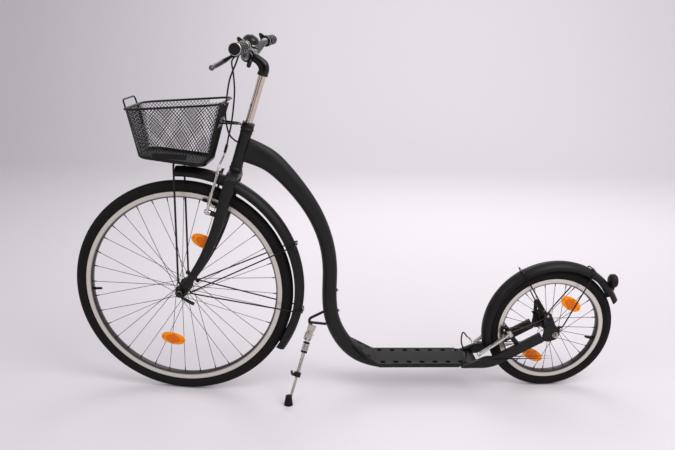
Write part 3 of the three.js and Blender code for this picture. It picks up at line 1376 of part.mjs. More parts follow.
function standLeg(leg) {
  const along = (share) => leg.clone().multiplyScalar(share);
  const ear = (side) => {
    const inner = side * (standPlateThickness / 2 + fitGap);
    const outer = inner + side * standEarThickness;
    const [low, high] = inner < outer ? [inner, outer] : [outer, inner];
    return fuse(rod(vec(0, inner, 0), vec(0, outer, 0), standEarRadius, 10),
      box([-standEarRadius, standEarRadius], [low, high], [-standBridgeEnd, 0]));
  };
  const half = standPlateThickness / 2 + fitGap + standEarThickness;
  const bridge = box([-standEarRadius, standEarRadius], [-half, half], [-standBridgeEnd, -standBridgeStart]);
  const pinHole = rod(vec(0, -half - cutOverrun, 0), vec(0, half + cutOverrun, 0), bored(standPinRadius, 8),
    8);
  const collar = (start) => rod(along(start), along(start + collarLength), collarRadius, 10);
  const clampStart = standLegLength - standClampLength;
  const clampMiddle = along(standLegLength - standClampLength / 2);
  const screw = rod(clampMiddle, clampMiddle.clone().setX(-standClampRadius - wingReach / 2),
    wingScrewRadius, 6);
  const wing = box([-standClampRadius - wingReach, -standClampRadius], [clampMiddle.y - wingSpan / 2,
    clampMiddle.y + wingSpan / 2],
    [clampMiddle.z - wingThickness / 2, clampMiddle.z + wingThickness / 2]);
  const shaft = rod(along(standBridgeEnd - standLegRadius), along(standLegLength), standLegRadius, 10);
  const clamp = rod(along(clampStart), along(standLegLength), standClampRadius, 10);
  const bore = rod(along(standLegLength - standBoreLength), along(standLegLength + cutOverrun),
    bored(standRodRadius, 10), 10);
  return cut(fuse(cut(fuse(ear(-1), ear(1), bridge), pinHole), shaft,
    collar(springStart - collarLength - fitGap),
    collar(springStart + springLength + fitGap), clamp, screw, wing), bore);
}

// The stand's spring: one unbroken wire wound round the leg between its collars.
function standSpring(leg) {
  const across = vec(1, 0, 0);
  const beside = leg.clone().cross(across);
  const steps = springCurls * 8;
  const travel = springLength - 2 * springWire;
  const rings = Array.from({ length: steps + 1 }, (_, i) => {
    const turn = (Math.PI / 4) * i;
    const out = across.clone().multiplyScalar(Math.cos(turn)).addScaledVector(beside, Math.sin(turn));
    const along = springStart + springWire + (travel * i) / steps;
    const centre = leg.clone().multiplyScalar(along).addScaledVector(out, springRadius);
    return roundSection(5).map(([a, b]) => centre.clone().addScaledVector(out,
      a * springWire).addScaledVector(leg, b * springWire));
  });
  const apart = rings.flatMap((ring,
    i) => rings.slice(i + 6).flatMap((other) => ring.flatMap((a) => other.map((b) => a.distanceTo(b)))));
  console.log(`spring: least gap between its turns ${Math.min(...apart).toFixed(2)} mm`);
  return loft(rings, roundSection(5));
}

function standRod(leg, length) {
  const along = (share) => leg.clone().multiplyScalar(share);
  return rod(along(standLegLength - standRodInsert), along(length - standFootSole - fitGap), standRodRadius,
    10);
}

// The stand's rubber foot, upright with a flat sole, and bored for the rod.
function standFoot(rodEnd, rodUp) {
  const outline = [[0, 0], [standFootRadius, 0], [standFootRadius, standFootSole / 2], [standFootNeck,
    standFootSole + standFootWall],
    [standFootNeck, standFootHeight], [0, standFootHeight]];
  return cut(turned(outline, 12, { upright: true }), rod(rodEnd, rodUp, bored(standRodRadius, 10), 10));
}

// Assembly: the scooter leans on its stand; its front wheel, fork and bar turn in the head tube.
const scooter = new THREE.Group();
scooter.rotation.x = rad(standLeanDeg);
const head = new THREE.Group();
head.position.copy(steeringFoot);
head.rotation.y = headTilt;
scooter.add(head);
const steering = new THREE.Group();
steering.rotation.z = rad(steerTurnDeg);
head.add(steering);
const frontWheel = new THREE.Group();
frontWheel.position.set(-forkRake, 0, 0);
frontWheel.rotation.y = -headTilt;
steering.add(frontWheel);
const rearWheel = new THREE.Group();
rearWheel.position.set(wheelbase, 0, rearTyreRadius);
scooter.add(rearWheel);

addWheel(frontWheel, 'front', { seat: frontSeatRadius, sides: frontWheelSides, spokeCount: frontSpokes,
  reflectorRadius: frontReflectorRadius,
  reflectorDegs: frontReflectorDeg, valveDeg: frontValveDeg });
addWheel(rearWheel, 'rear', { seat: rearSeatRadius, sides: rearWheelSides, spokeCount: rearSpokes,
  reflectorRadius: rearReflectorRadius,
  reflectorDegs: rearReflectorDeg, valveDeg: rearValveDeg });

// Both tyres meet the ground: the scooter is pitched by what the turned front wheel has dropped or risen.
const lowest = (object) => new THREE.Box3().setFromObject(object, true).min.z;
scooter.updateMatrixWorld(true);
const wheelRise = [frontWheel, rearWheel].map((wheel) => lowest(wheel));
scooter.rotation.y = Math.atan2(wheelRise[1] - wheelRise[0], wheelbase);
scooter.updateMatrixWorld(true);
const groundRise = lowest(rearWheel);

addPiece(frontWheel, 'front_axle', steel, axle(dropoutInner, forkTipOuter, true));
addPiece(rearWheel, 'rear_axle', steel, axle(dropoutInner, dropoutInner + dropoutPlate));
const quickRelease = new THREE.Group();
quickRelease.position.set(-forkRake, -(forkTipOuter + 2 * fitGap + quickHeadLength + quickCamRadius), 0);
quickRelease.rotation.y = -rad(quickLeverDeg);
steering.add(quickRelease);
addPiece(quickRelease, 'quick_release_lever', alloy, quickLever());

addPiece(steering, 'fork', paint, fork());
addPiece(steering, 'lock_nut', chrome, lockNut());
addPiece(steering, 'stem', plastic, stem());
addPiece(steering, 'handlebar', grey, handlebar());
const barrels = [['left', -1], ['right', 1]].map(([name, side]) => {
  addPiece(barGroup(steering, side, 0), `grip_${name}`, rubber, grip(side));
  const place = leverPlane(steering, side);
  addPiece(place, `lever_bracket_${name}`, plastic, leverBracket(side));
  addPiece(place, `brake_lever_${name}`, grey, brakeLever(side));
  return [1, 2].map((step) => toSteering(place, barrelMouth(side, step)));
});
const bellPlace = new THREE.Group();
bellPlace.position.set(-stemReach, -bellOffset, barHeight);
steering.add(bellPlace);
addPiece(bellPlace, 'bell', plastic, bell());
addPiece(bellPlace, 'bell_thumb', plastic, bellThumb());

const frontBrake = new THREE.Group();
frontBrake.position.set(0, 0, bossHeight);
steering.add(frontBrake);
const frontNoodle = noodle(-1, frontNoodleSpread, frontNoodleRise, vec(0, 0, 1));
addBrake(frontBrake, 'front', [['left', -1], ['right', 1]], frontNoodle.pipe, -1, [-forkRake, -bossHeight],
  frontSeatRadius);
const rearBrake = new THREE.Group();
rearBrake.applyMatrix4(rearBrakeMatrix());
scooter.add(rearBrake);
const rearNoodle = noodle(-1, rearNoodleSpread, rearNoodleRise, vec(-1, 0, 0));
const rearCentre = vec(wheelbase, 0, rearTyreRadius).applyMatrix4(rearBrakeMatrix().invert());
addBrake(rearBrake, 'rear', [['left', 1], ['right', -1]], rearNoodle.pipe, -1, [rearCentre.x, rearCentre.z],
  rearSeatRadius);

const fenderCentre = vec(-forkRake, 0, frontFenderLift);
addPiece(steering, 'front_fender', plastic, fender(fenderCentre, frontFenderRadius, frontFenderDeg));
addPiece(steering, 'front_fender_stays', steel, fuse(...frontStayDeg.map((turnDeg) => (
  fenderStay(fenderEye, staySide, fenderCentre, frontFenderRadius, turnDeg)))));
const rearAxleCentre = vec(wheelbase, 0, rearTyreRadius);
addPiece(scooter, 'rear_fender', plastic, fender(rearAxleCentre, rearFenderRadius, rearFenderDeg));
['front', 'back'].forEach((name, i) => addPiece(scooter, `rear_fender_stay_${name}`, steel, fenderStay(
  fromRearAxle(rearStayEyeShares[i]), dropoutInner + dropoutPlate + fitGap, rearAxleCentre,
    rearFenderRadius, rearStayDeg[i])));

const basketPlace = new THREE.Group();
basketPlace.position.set(basketCentreBack, 0, basketCentreHeight);
basketPlace.rotation.y = -rad(basketTiltDeg);
steering.add(basketPlace);
addPiece(basketPlace, 'basket', plastic, basket());
addPiece(steering, 'basket_stay', paint, basketStay());
addPiece(steering, 'basket_bracket', paint, basketBracket());

addPiece(head, 'head_tube', paint, headTube());
addPiece(scooter, 'main_tube', paint, mainTube());
addPiece(scooter, 'footboard', paint, footboard());
addPiece(scooter, 'rear_stay_left', paint, rearStay(-1));
addPiece(scooter, 'rear_stay_right', paint, rearStay(1));
addPiece(scooter, 'rear_light', plastic, rearLight());
addPiece(scooter, 'rear_lens', red, rearLens());

const { matrix: standMatrix, foot: standFootPoint, leg: standLine,
  length: standLength } = standPlace(groundRise);
const stand = new THREE.Group();
stand.applyMatrix4(standMatrix);
scooter.add(stand);
addPiece(scooter, 'stand_bracket', paint, standBracket(standMatrix));
addPiece(stand, 'stand_leg', steel, standLeg(standLine));
addPiece(stand, 'stand_spring', steel, standSpring(standLine));
addPiece(stand, 'stand_rod', steel, standRod(standLine, standLength));
const footPlace = new THREE.Group();
footPlace.position.copy(standFootPoint);
footPlace.rotation.x = -rad(standLeanDeg);
scooter.add(footPlace);
footPlace.updateMatrix();
const toFoot = footPlace.matrix.clone().invert().multiply(standMatrix);
const inFoot = (share) => standLine.clone().multiplyScalar(share).applyMatrix4(toFoot);
addPiece(footPlace, 'stand_foot', rubber, standFoot(inFoot(standLength - standFootSole),
  inFoot(standLegLength)));

// Cables: along the bar's front to the front brake and to the head tube, and up from the yoke to the rear
// brake.
const upFrom = (end) => [end.clone().addScaledVector(vec(0, 0, 1), fitGap),
  end.clone().addScaledVector(vec(0, 0, 1), ferruleLength)];
const points = (route) => route.map((place) => vec(...place));
const [leftBarrel, rightBarrel] = barrels;
const noodleTop = upFrom(frontNoodle.end.clone().add(frontBrake.position));
addPiece(steering, 'front_cable', rubber, fuse(
  cable([...rightBarrel, ...points(frontCableRoute), noodleTop[1], noodleTop[0]], cableRadius, cableSteps),
  rod(noodleTop[0], noodleTop[1], ferruleRadius, 10)));
const portTurn = rad(headPortDeg - steerTurnDeg);
const port = (out) => vec(out * Math.cos(portTurn), out * Math.sin(portTurn), headPortHeight);
const portSeat = headTubeRadius * Math.cos(Math.PI / headSides) + fitGap;
addPiece(steering, 'rear_cable_bar', rubber,
  cable([...leftBarrel, ...points(steeringCableRoute), port(portSeat + 4 * cableRadius), port(portSeat)],
    cableRadius, cableSteps));
const alongRearNoodle = (back) => rearNoodle.end.clone().setX(rearNoodle.end.x - back)
  .applyMatrix4(rearBrakeMatrix());
const rearNoodleEnd = alongRearNoodle(fitGap);
const rearFerrule = alongRearNoodle(ferruleLength / 2);
addPiece(scooter, 'rear_cable_frame', rubber, cable([vec(yokePortBack, yokePortSide, deckUnder),
  ...points(rearCableRoute),
  rearFerrule, rearNoodleEnd], cableRadius, rearCableSteps));

// The whole stands with its lowest points on Z = 0 and the middle of its box over the origin.
const kickBike = new THREE.Group();
kickBike.add(scooter);
kickBike.updateMatrixWorld(true);
const bounds = new THREE.Box3().setFromObject(kickBike, true);
const middle = bounds.getCenter(vec(0, 0, 0));
scooter.position.set(-middle.x, -middle.y, -bounds.min.z);
kickBike.updateMatrixWorld(true);

export default kickBike;
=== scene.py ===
"""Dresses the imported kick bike: smooth pieces over its CAD solids, their finishes, a stage and a camera."""

import math

import bpy
from mathutils import Matrix, Vector


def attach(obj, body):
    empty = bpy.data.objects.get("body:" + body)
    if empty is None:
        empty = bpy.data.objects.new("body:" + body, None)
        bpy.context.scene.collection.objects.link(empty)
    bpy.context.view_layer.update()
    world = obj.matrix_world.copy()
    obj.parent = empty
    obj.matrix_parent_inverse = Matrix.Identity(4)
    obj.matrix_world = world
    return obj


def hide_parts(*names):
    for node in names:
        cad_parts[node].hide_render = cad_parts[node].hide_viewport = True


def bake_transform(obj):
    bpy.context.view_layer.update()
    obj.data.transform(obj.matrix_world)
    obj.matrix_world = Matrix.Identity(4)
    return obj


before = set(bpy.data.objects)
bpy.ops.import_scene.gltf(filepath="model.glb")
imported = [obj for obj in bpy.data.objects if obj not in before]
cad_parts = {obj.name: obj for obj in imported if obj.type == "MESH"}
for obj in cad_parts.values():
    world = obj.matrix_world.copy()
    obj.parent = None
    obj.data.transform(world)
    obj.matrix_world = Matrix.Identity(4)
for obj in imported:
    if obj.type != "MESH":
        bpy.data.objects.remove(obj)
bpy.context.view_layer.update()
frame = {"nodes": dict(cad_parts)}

bl_info = {
    "name": "Kick bike",
    "version": (1, 0, 0),
    "blender": (4, 5, 0),
    "location": "View3D > Sidebar > Kick bike",
    "description": "Models the pieces of a kick bike over its CAD frame",
    "category": "Add Mesh",
}

MM = 0.001
TAU = 2 * math.pi


# Places: each group's own millimetres, carried into the frame's metres.

def move(x=0.0, y=0.0, z=0.0):
    """A shift as a matrix."""
    return Matrix.Translation((x, y, z))


def turn(degrees, axis):
    """A turn about an axis as a matrix."""
    return Matrix.Rotation(math.radians(degrees), 4, axis)


def basis(x, y, z, origin):
    """A matrix from three directions and an origin."""
    return Matrix((
        (x[0], y[0], z[0], origin[0]),
        (x[1], y[1], z[1], origin[1]),
        (x[2], y[2], z[2], origin[2]),
        (0, 0, 0, 1)))


# The rear stays' middle line in X and Z, which the rear brake stands off.
STAY_LINE = [(930.6, 111.5), (1006, 111.5), (1170, 207)]


def from_rear_brake():
    """The rear brake's group: its studs stand off the stays and its arms run forward and down."""
    bend, end = (Vector((x, 0, z)) for x, z in STAY_LINE[1:])
    along = (end - bend).normalized()
    origin = bend + along * 107 + Vector((-along.z, 0, along.x)) * 18
    lean = math.radians(219.8)
    up = Vector((math.cos(lean), 0, math.sin(lean)))
    return basis((-up.z, 0, up.x), (0, -1, 0), up, origin)


SCOOTER = (move(-0.54397334, 0.08032212, -0.00250783) @ turn(4.5, 'X')
           @ Matrix.Rotation(0.00036974, 4, 'Y') @ Matrix.Scale(MM, 4))
HEAD = SCOOTER @ move(52.16, 0, 337.02) @ turn(15, 'Y')
STEERING = HEAD @ turn(-9.6, 'Z')
FRONT_WHEEL = STEERING @ move(-54) @ turn(-15, 'Y')
REAR_WHEEL = SCOOTER @ move(1213, 0, 217.5)
BASKET = STEERING @ move(-209, 0, 563) @ turn(-15, 'Y')
CLAMP = Vector((-51, 0, 757))
BELL = STEERING @ move(*(CLAMP + Vector((0, -47, 0))))
BRAKE_UP = move(0, 0, 276)
FRONT_BRAKE = STEERING @ BRAKE_UP
REAR_BRAKE = SCOOTER @ from_rear_brake()
QUICK_RELEASE = STEERING @ move(-54, -69.1, 0) @ turn(12, 'Y')
STAND_PIN = Vector((-0.171732, 0.98478, -0.026784))
STAND_DOWN = Vector((-0.275415, -0.343246, -0.897958))
STAND_PIVOT = Vector((-0.144893, 0.015534, 0.208913))


def from_stand():
    """The stand's group: Y along the hinge's pin, with the leg hanging in the YZ plane."""
    pin = STAND_PIN.normalized()
    up = (pin * STAND_DOWN.dot(pin) - STAND_DOWN).normalized()
    return basis(pin.cross(up), pin, up, STAND_PIVOT) @ Matrix.Scale(MM, 4)


STAND = from_stand()
LEG = Vector((0, STAND_DOWN.dot(STAND_PIN.normalized()), 0))
LEG.z = -math.sqrt(1 - LEG.y ** 2)
FOOT = move(-0.208968, -0.064321, 0) @ Matrix.Scale(MM, 4)

# Sizes that pieces share, in millimetres. Eyes are given in X and Z.
FENDER_CENTRE, FENDER_RADIUS = (-54, 14), 379
REAR_FENDER_CENTRE, REAR_FENDER_RADIUS = (1219, 217.5), 239
FRONT_SEAT, REAR_SEAT = 311, 177.5
FRONT_SIDE, REAR_SIDE = 56.6, 58.6
BASKET_EYE, FENDER_EYE = (-65, 28), (-27, 12)
REAR_EYES = ((1178, 285.7), (1227, 239.5))
STUD_OUT = 42
ARM_PLANE, ARM_TOP = -42.8, 122
LEVER_PIVOT, LEVER_TIP = (4, 40), (116, 80)
ADJUSTER_UP = 26
BAR_END, BAR_BEND = 306, 130
SIDES = (('left', -1), ('right', 1))


# Curves and outlines, in millimetres.

def point_on(centre, radius, degrees, y=0.0):
    """A point on an upright circle round a centre given in X and Z."""
    angle = math.radians(degrees)
    return Vector((centre[0] + radius * math.cos(angle), y, centre[1] + radius * math.sin(angle)))


def disc(x, z, radius, count=32):
    """A round outline."""
    angles = [TAU * i / count for i in range(count)]
    return [(x + radius * math.cos(a), z + radius * math.sin(a)) for a in angles]


def strip(line, width):
    """The outline of a strip of even width along a bent line in two axes."""
    points = [Vector(p) for p in line]
    sides = []
    for i, point in enumerate(points):
        before = (point - points[max(i - 1, 0)]).normalized()
        after = (points[min(i + 1, len(points) - 1)] - point).normalized()
        along = (before + after).normalized()
        leg = after if i + 1 < len(points) else along
        across = Vector((-along.y, along.x))
        sides.append(across * (width / 2 / abs(across.dot(Vector((-leg.y, leg.x))))))
    left = [tuple(p + s) for p, s in zip(points, sides)]
    return left + [tuple(p - s) for p, s in zip(points, sides)][::-1]


def stadium(x, y, length, width, count=8):
    """A slot's outline with round ends, its length along the first axis."""
    reach = (length - width) / 2
    right = [(x + reach + width / 2 * math.cos(a), y + width / 2 * math.sin(a))
             for a in (math.pi * (i / count - 0.5) for i in range(count + 1))]
    return right + [(2 * x - px, 2 * y - py) for px, py in right]


def smooth(points, steps):
    """A smooth curve through points that passes each of them."""
    points = [Vector(p) for p in points]
    last = len(points) - 1
    result = []
    for i in range(steps + 1):
        place = last * i / steps
        k = min(int(place), last - 1)
        weight = place - k
        p1, p2 = points[k], points[k + 1]
        p0 = points[k - 1] if k else 2 * p1 - p2
        p3 = points[k + 2] if k + 2 <= last else 2 * p2 - p1
        d0, d1, d2 = (max((b - a).length ** 0.5, 1e-4) for a, b in ((p0, p1), (p1, p2), (p2, p3)))
        t1 = ((p1 - p0) / d0 - (p2 - p0) / (d0 + d1) + (p2 - p1) / d1) * d1
        t2 = ((p2 - p1) / d1 - (p3 - p1) / (d1 + d2) + (p3 - p2) / d2) * d1
        cube = 2 * p1 - 2 * p2 + t1 + t2
        square = -3 * p1 + 3 * p2 - 2 * t1 - t2
        result.append(p1 + t1 * weight + square * weight ** 2 + cube * weight ** 3)
    return result


def rounded(points, bend, steps=6):
    """A line whose corners are rounded off."""
    points = [Vector(p) for p in points]
    shares = [i / steps for i in range(steps + 1)]
    line = [points[0]]
    for before, corner, after in zip(points, points[1:], points[2:]):
        start = corner + (before - corner).normalized() * bend
        end = corner + (after - corner).normalized() * bend
        line += [start.lerp(corner, t).lerp(corner.lerp(end, t), t) for t in shares]
    return line + [points[-1]]


def softly(outline, bend, steps=4):
    """A closed outline with its corners rounded off."""
    return [tuple(p) for p in rounded([outline[-1], *outline, outline[0]], bend, steps)[1:-1]]


def eased(values, steps):
    """Numbers spread evenly along a smooth curve through the given ones."""
    return [p.x for p in smooth([Vector((v, i, 0)) for i, v in enumerate(values)], steps)]


# Modelling steps.

def clear():
    """Leaves edit mode and selects nothing."""
    if bpy.context.mode != 'OBJECT':
        bpy.ops.object.mode_set(mode='OBJECT')
    bpy.ops.object.select_all(action='DESELECT')


def choose(obj):
    """Makes one object the only one selected."""
    clear()
    obj.select_set(True)
    bpy.context.view_layer.objects.active = obj
    return obj


def edit(obj):
    """Opens a mesh in edit mode with all of it selected."""
    choose(obj)
    bpy.ops.object.mode_set(mode='EDIT')
    bpy.ops.mesh.select_mode(type='VERT')
    bpy.ops.mesh.select_all(action='SELECT')


def close(obj, fill=False):
    """Merges what meets, fills open ends if asked, and turns every face outward."""
    edit(obj)
    bpy.ops.mesh.remove_doubles(threshold=0.002)
    bpy.ops.mesh.delete_loose(use_verts=True, use_edges=True, use_faces=False)
    if fill:
        bpy.ops.mesh.select_all(action='SELECT')
        bpy.ops.mesh.fill_holes(sides=0)
    bpy.ops.mesh.select_all(action='SELECT')
    bpy.ops.mesh.normals_make_consistent(inside=False)
    clear()
    return obj


def shift(obj, matrix):
    """Carries a mesh through a matrix, with its object left at the origin."""
    obj.data.transform(matrix)
    if matrix.determinant() < 0:
        obj.data.flip_normals()
    return obj


def turned(profile, steps=64, upright=False):
    """A body spun about Y, or about Z if upright, from pairs of radius and height."""
    clear()
    bpy.ops.mesh.primitive_circle_add(vertices=len(profile), fill_type='NOTHING')
    obj = bpy.context.object
    for vertex, (radius, along) in zip(obj.data.vertices, profile):
        vertex.co = (radius, along, 0)
    edit(obj)
    bpy.ops.mesh.spin(steps=steps, angle=TAU, center=(0, 0, 0), axis=(0, 1, 0))
    close(obj)
    return shift(obj, turn(90, 'X')) if upright else obj


def lined(start, end):
    """The place of a body whose Y axis runs from one point toward another."""
    along = (Vector(end) - Vector(start)).normalized()
    return Matrix.Translation(start) @ Vector((0, 1, 0)).rotation_difference(along).to_matrix().to_4x4()


def rod(start, end, radius, tip=None, bevel=0.5, steps=32):
    """A round bar between two points with its rims eased; a tip radius tapers it."""
    length = (Vector(end) - Vector(start)).length
    tip = radius if tip is None else tip
    bevel = min(bevel, length / 3, radius / 2, tip / 2)
    ease = bevel * 0.3
    profile = [(0, 0), (radius - bevel, 0), (radius - ease, ease), (radius, bevel), (tip, length - bevel),
               (tip - ease, length - ease), (tip - bevel, length), (0, length)]
    return shift(turned(profile, steps), lined(start, end))


def bolt(start, end, radius):
    """A low domed bolt head with a socket."""
    high = (Vector(end) - Vector(start)).length
    shares = ((0, 0.45), (0.42, 0.45), (0.46, 1), (0.7, 0.94), (0.93, 0.6), (1, 0), (0, 0))
    head = [(radius * out, high * up) for out, up in shares]
    return shift(turned(head, 24), lined(start, end))


def skinned(rows, wrapped=True, fill=True):
    """A grid drawn through rows of points; wrapped joins each row's ends."""
    clear()
    count = len(rows[0])
    across = count + 1 if wrapped else count
    bpy.ops.mesh.primitive_grid_add(x_subdivisions=across - 1, y_subdivisions=len(rows) - 1)
    obj = bpy.context.object
    for i, vertex in enumerate(obj.data.vertices):
        row, column = divmod(i, across)
        vertex.co = rows[row][column % count]
    return close(obj, fill)


def section(sides, square=1.0):
    """A round outline of unit size; below 1 it grows squarer."""
    def squared(value):
        return math.copysign(abs(value) ** square, value)
    angles = [TAU * i / sides for i in range(sides)]
    return [(squared(math.cos(a)), squared(math.sin(a))) for a in angles]


def oval(line, depths, widths, beside=(0, 1, 0), sides=24, square=1.0):
    """A tube of oval section along a flat line: half depths across it and half widths beside it."""
    beside = Vector(beside)
    rows = []
    for i, at in enumerate(line):
        along = Vector(line[min(i + 1, len(line) - 1)]) - Vector(line[max(i - 1, 0)])
        across = along.cross(beside).normalized()
        rows.append([Vector(at) + across * (a * depths[i]) + beside * (b * widths[i])
                     for a, b in section(sides, square)])
    return skinned(rows)


def wire(points, radius, bend=0.0, looped=False, round_steps=4):
    """A round wire through points, drawn as a curve with its own thickness and made a mesh."""
    clear()
    line = rounded(points, bend) if bend else [Vector(p) for p in points]
    curve = bpy.data.curves.new('wire', 'CURVE')
    curve.dimensions = '3D'
    curve.bevel_depth = radius
    curve.bevel_resolution = round_steps
    curve.use_fill_caps = not looped
    spline = curve.splines.new('POLY')
    spline.points.add(len(line) - 1)
    spline.use_cyclic_u = looped
    for knot, at in zip(spline.points, line):
        knot.co = (*at, 1)
    return drawn(curve)


def drawn(curve):
    """A mesh from a curve's own thickness."""
    obj = bpy.data.objects.new('curve', curve)
    bpy.context.collection.objects.link(obj)
    choose(obj)
    bpy.ops.object.convert(target='MESH')
    return close(bpy.context.object)


FACINGS = {'side': Matrix(((1, 0, 0, 0), (0, 0, -1, 0), (0, 1, 0, 0), (0, 0, 0, 1))),
           'cross': Matrix(((0, 0, 1, 0), (1, 0, 0, 0), (0, 1, 0, 0), (0, 0, 0, 1))),
           'flat': Matrix.Identity(4)}


def plate(outline, thickness, middle=0.0, facing='side', holes=(), bevel=0.5, round_steps=1):
    """A plate with eased edges: side lies in X and Z, cross in Y and Z, flat in X and Y."""
    clear()
    curve = bpy.data.curves.new('plate', 'CURVE')
    curve.dimensions = '2D'
    curve.fill_mode = 'BOTH'
    curve.extrude = thickness / 2 - bevel
    curve.bevel_depth = bevel
    curve.bevel_resolution = round_steps
    curve.offset = -bevel
    for line in (outline, *holes):
        spline = curve.splines.new('POLY')
        spline.points.add(len(line) - 1)
        spline.use_cyclic_u = True
        for knot, (x, y) in zip(spline.points, line):
            knot.co = (x, y, 0, 1)
    obj = drawn(curve)
    along = {'side': (0, middle, 0), 'cross': (middle, 0, 0), 'flat': (0, 0, middle)}[facing]
    return shift(obj, Matrix.Translation(along) @ FACINGS[facing])


def block(x, y, z, bevel=0.8, segments=2):
    """A box between limits with its edges rounded."""
    clear()
    middle = [(low + high) / 2 for low, high in (x, y, z)]
    size = [high - low for low, high in (x, y, z)]
    bpy.ops.mesh.primitive_cube_add(size=1, location=middle, scale=size)
    obj = bpy.context.object
    bpy.ops.object.transform_apply(location=True, rotation=True, scale=True)
    edit(obj)
    bpy.ops.mesh.bevel(offset=bevel, segments=segments, affect='EDGES')
    clear()
    return obj


def joined(*parts):
    """Several modelled bodies as one object."""
    clear()
    for part in parts:
        part.select_set(True)
    bpy.context.view_layer.objects.active = parts[0]
    if len(parts) > 1:
        bpy.ops.object.join()
    return parts[0]


def copied(obj, matrix):
    """A copy with a mesh of its own, carried through a matrix."""
    twin = obj.copy()
    twin.data = obj.data.copy()
    bpy.context.collection.objects.link(twin)
    return shift(twin, matrix)


def around(obj, count, axis='Y'):
    """A body and its copies evenly round an axis, as one object."""
    return joined(obj, *[copied(obj, Matrix.Rotation(TAU * i / count, 4, axis)) for i in range(1, count)])


def cut(obj, *tools):
    """Cuts bodies out of another and removes them."""
    for tool in tools:
        choose(obj)
        modifier = obj.modifiers.new('cut', 'BOOLEAN')
        modifier.operation = 'DIFFERENCE'
        modifier.solver = 'EXACT'
        modifier.object = tool
        bpy.ops.object.modifier_apply(modifier=modifier.name)
        bpy.data.objects.remove(tool)
    return obj


def settle(obj, name, place, body, coat, nodes=(), degrees=38):
    """Names a piece, puts its place into its mesh, ties it to its body and its finish, and hides its CAD
    nodes.
    """
    material = finish(coat)
    shift(obj, place)
    obj.name = obj.data.name = name
    choose(obj)
    bpy.ops.object.shade_smooth_by_angle(angle=math.radians(degrees))
    obj.data.materials.clear()
    obj.data.materials.append(material)
    if body:
        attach(obj, body)
    if nodes:
        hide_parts(*nodes)
    clear()
    return obj


def tie(obj, place, start, end):
    """Puts a piece's place into its mesh; the two points, from one point of a group to another, are worked
    out but not used.
    """
    place @ Vector(start)
    place @ Vector(end)
    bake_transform(obj)


# Materials.

def tint(code):
    """A colour as the shader wants it, from a code as it shows on a screen or from a scene's own colour."""
    if not isinstance(code, str):
        return (*code, 1.0)
    parts = [int(code[i:i + 2], 16) / 255 for i in (0, 2, 4)]
    return (*(p / 12.92 if p <= 0.04045 else ((p + 0.055) / 1.055) ** 2.4 for p in parts), 1.0)


class Signal:
    """A number running through a material, on which sums are written as plain sums."""

    def __init__(self, finish, socket):
        self.finish, self.socket = finish, socket

    def sum(self, operation, first, second=None):
        values = [v for v in (first, second) if v is not None]
        return self.finish.node('ShaderNodeMath', {'operation': operation}, dict(enumerate(values)))

    def __add__(self, other):
        return self.sum('ADD', self, other)

    def __radd__(self, other):
        return self.sum('ADD', other, self)

    def __sub__(self, other):
        return self.sum('SUBTRACT', self, other)

    def __rsub__(self, other):
        return self.sum('SUBTRACT', other, self)

    def __mul__(self, other):
        return self.sum('MULTIPLY', self, other)

    def __rmul__(self, other):
        return self.sum('MULTIPLY', other, self)


    def __pow__(self, other):
        return self.sum('POWER', self, other)

    def over(self, limit):
        """1 where the number passes the limit, 0 elsewhere."""
        return self.sum('GREATER_THAN', self, limit)

    def of(self, operation):
        """The sine, absolute value or other one-number function."""
        return self.sum(operation, self)


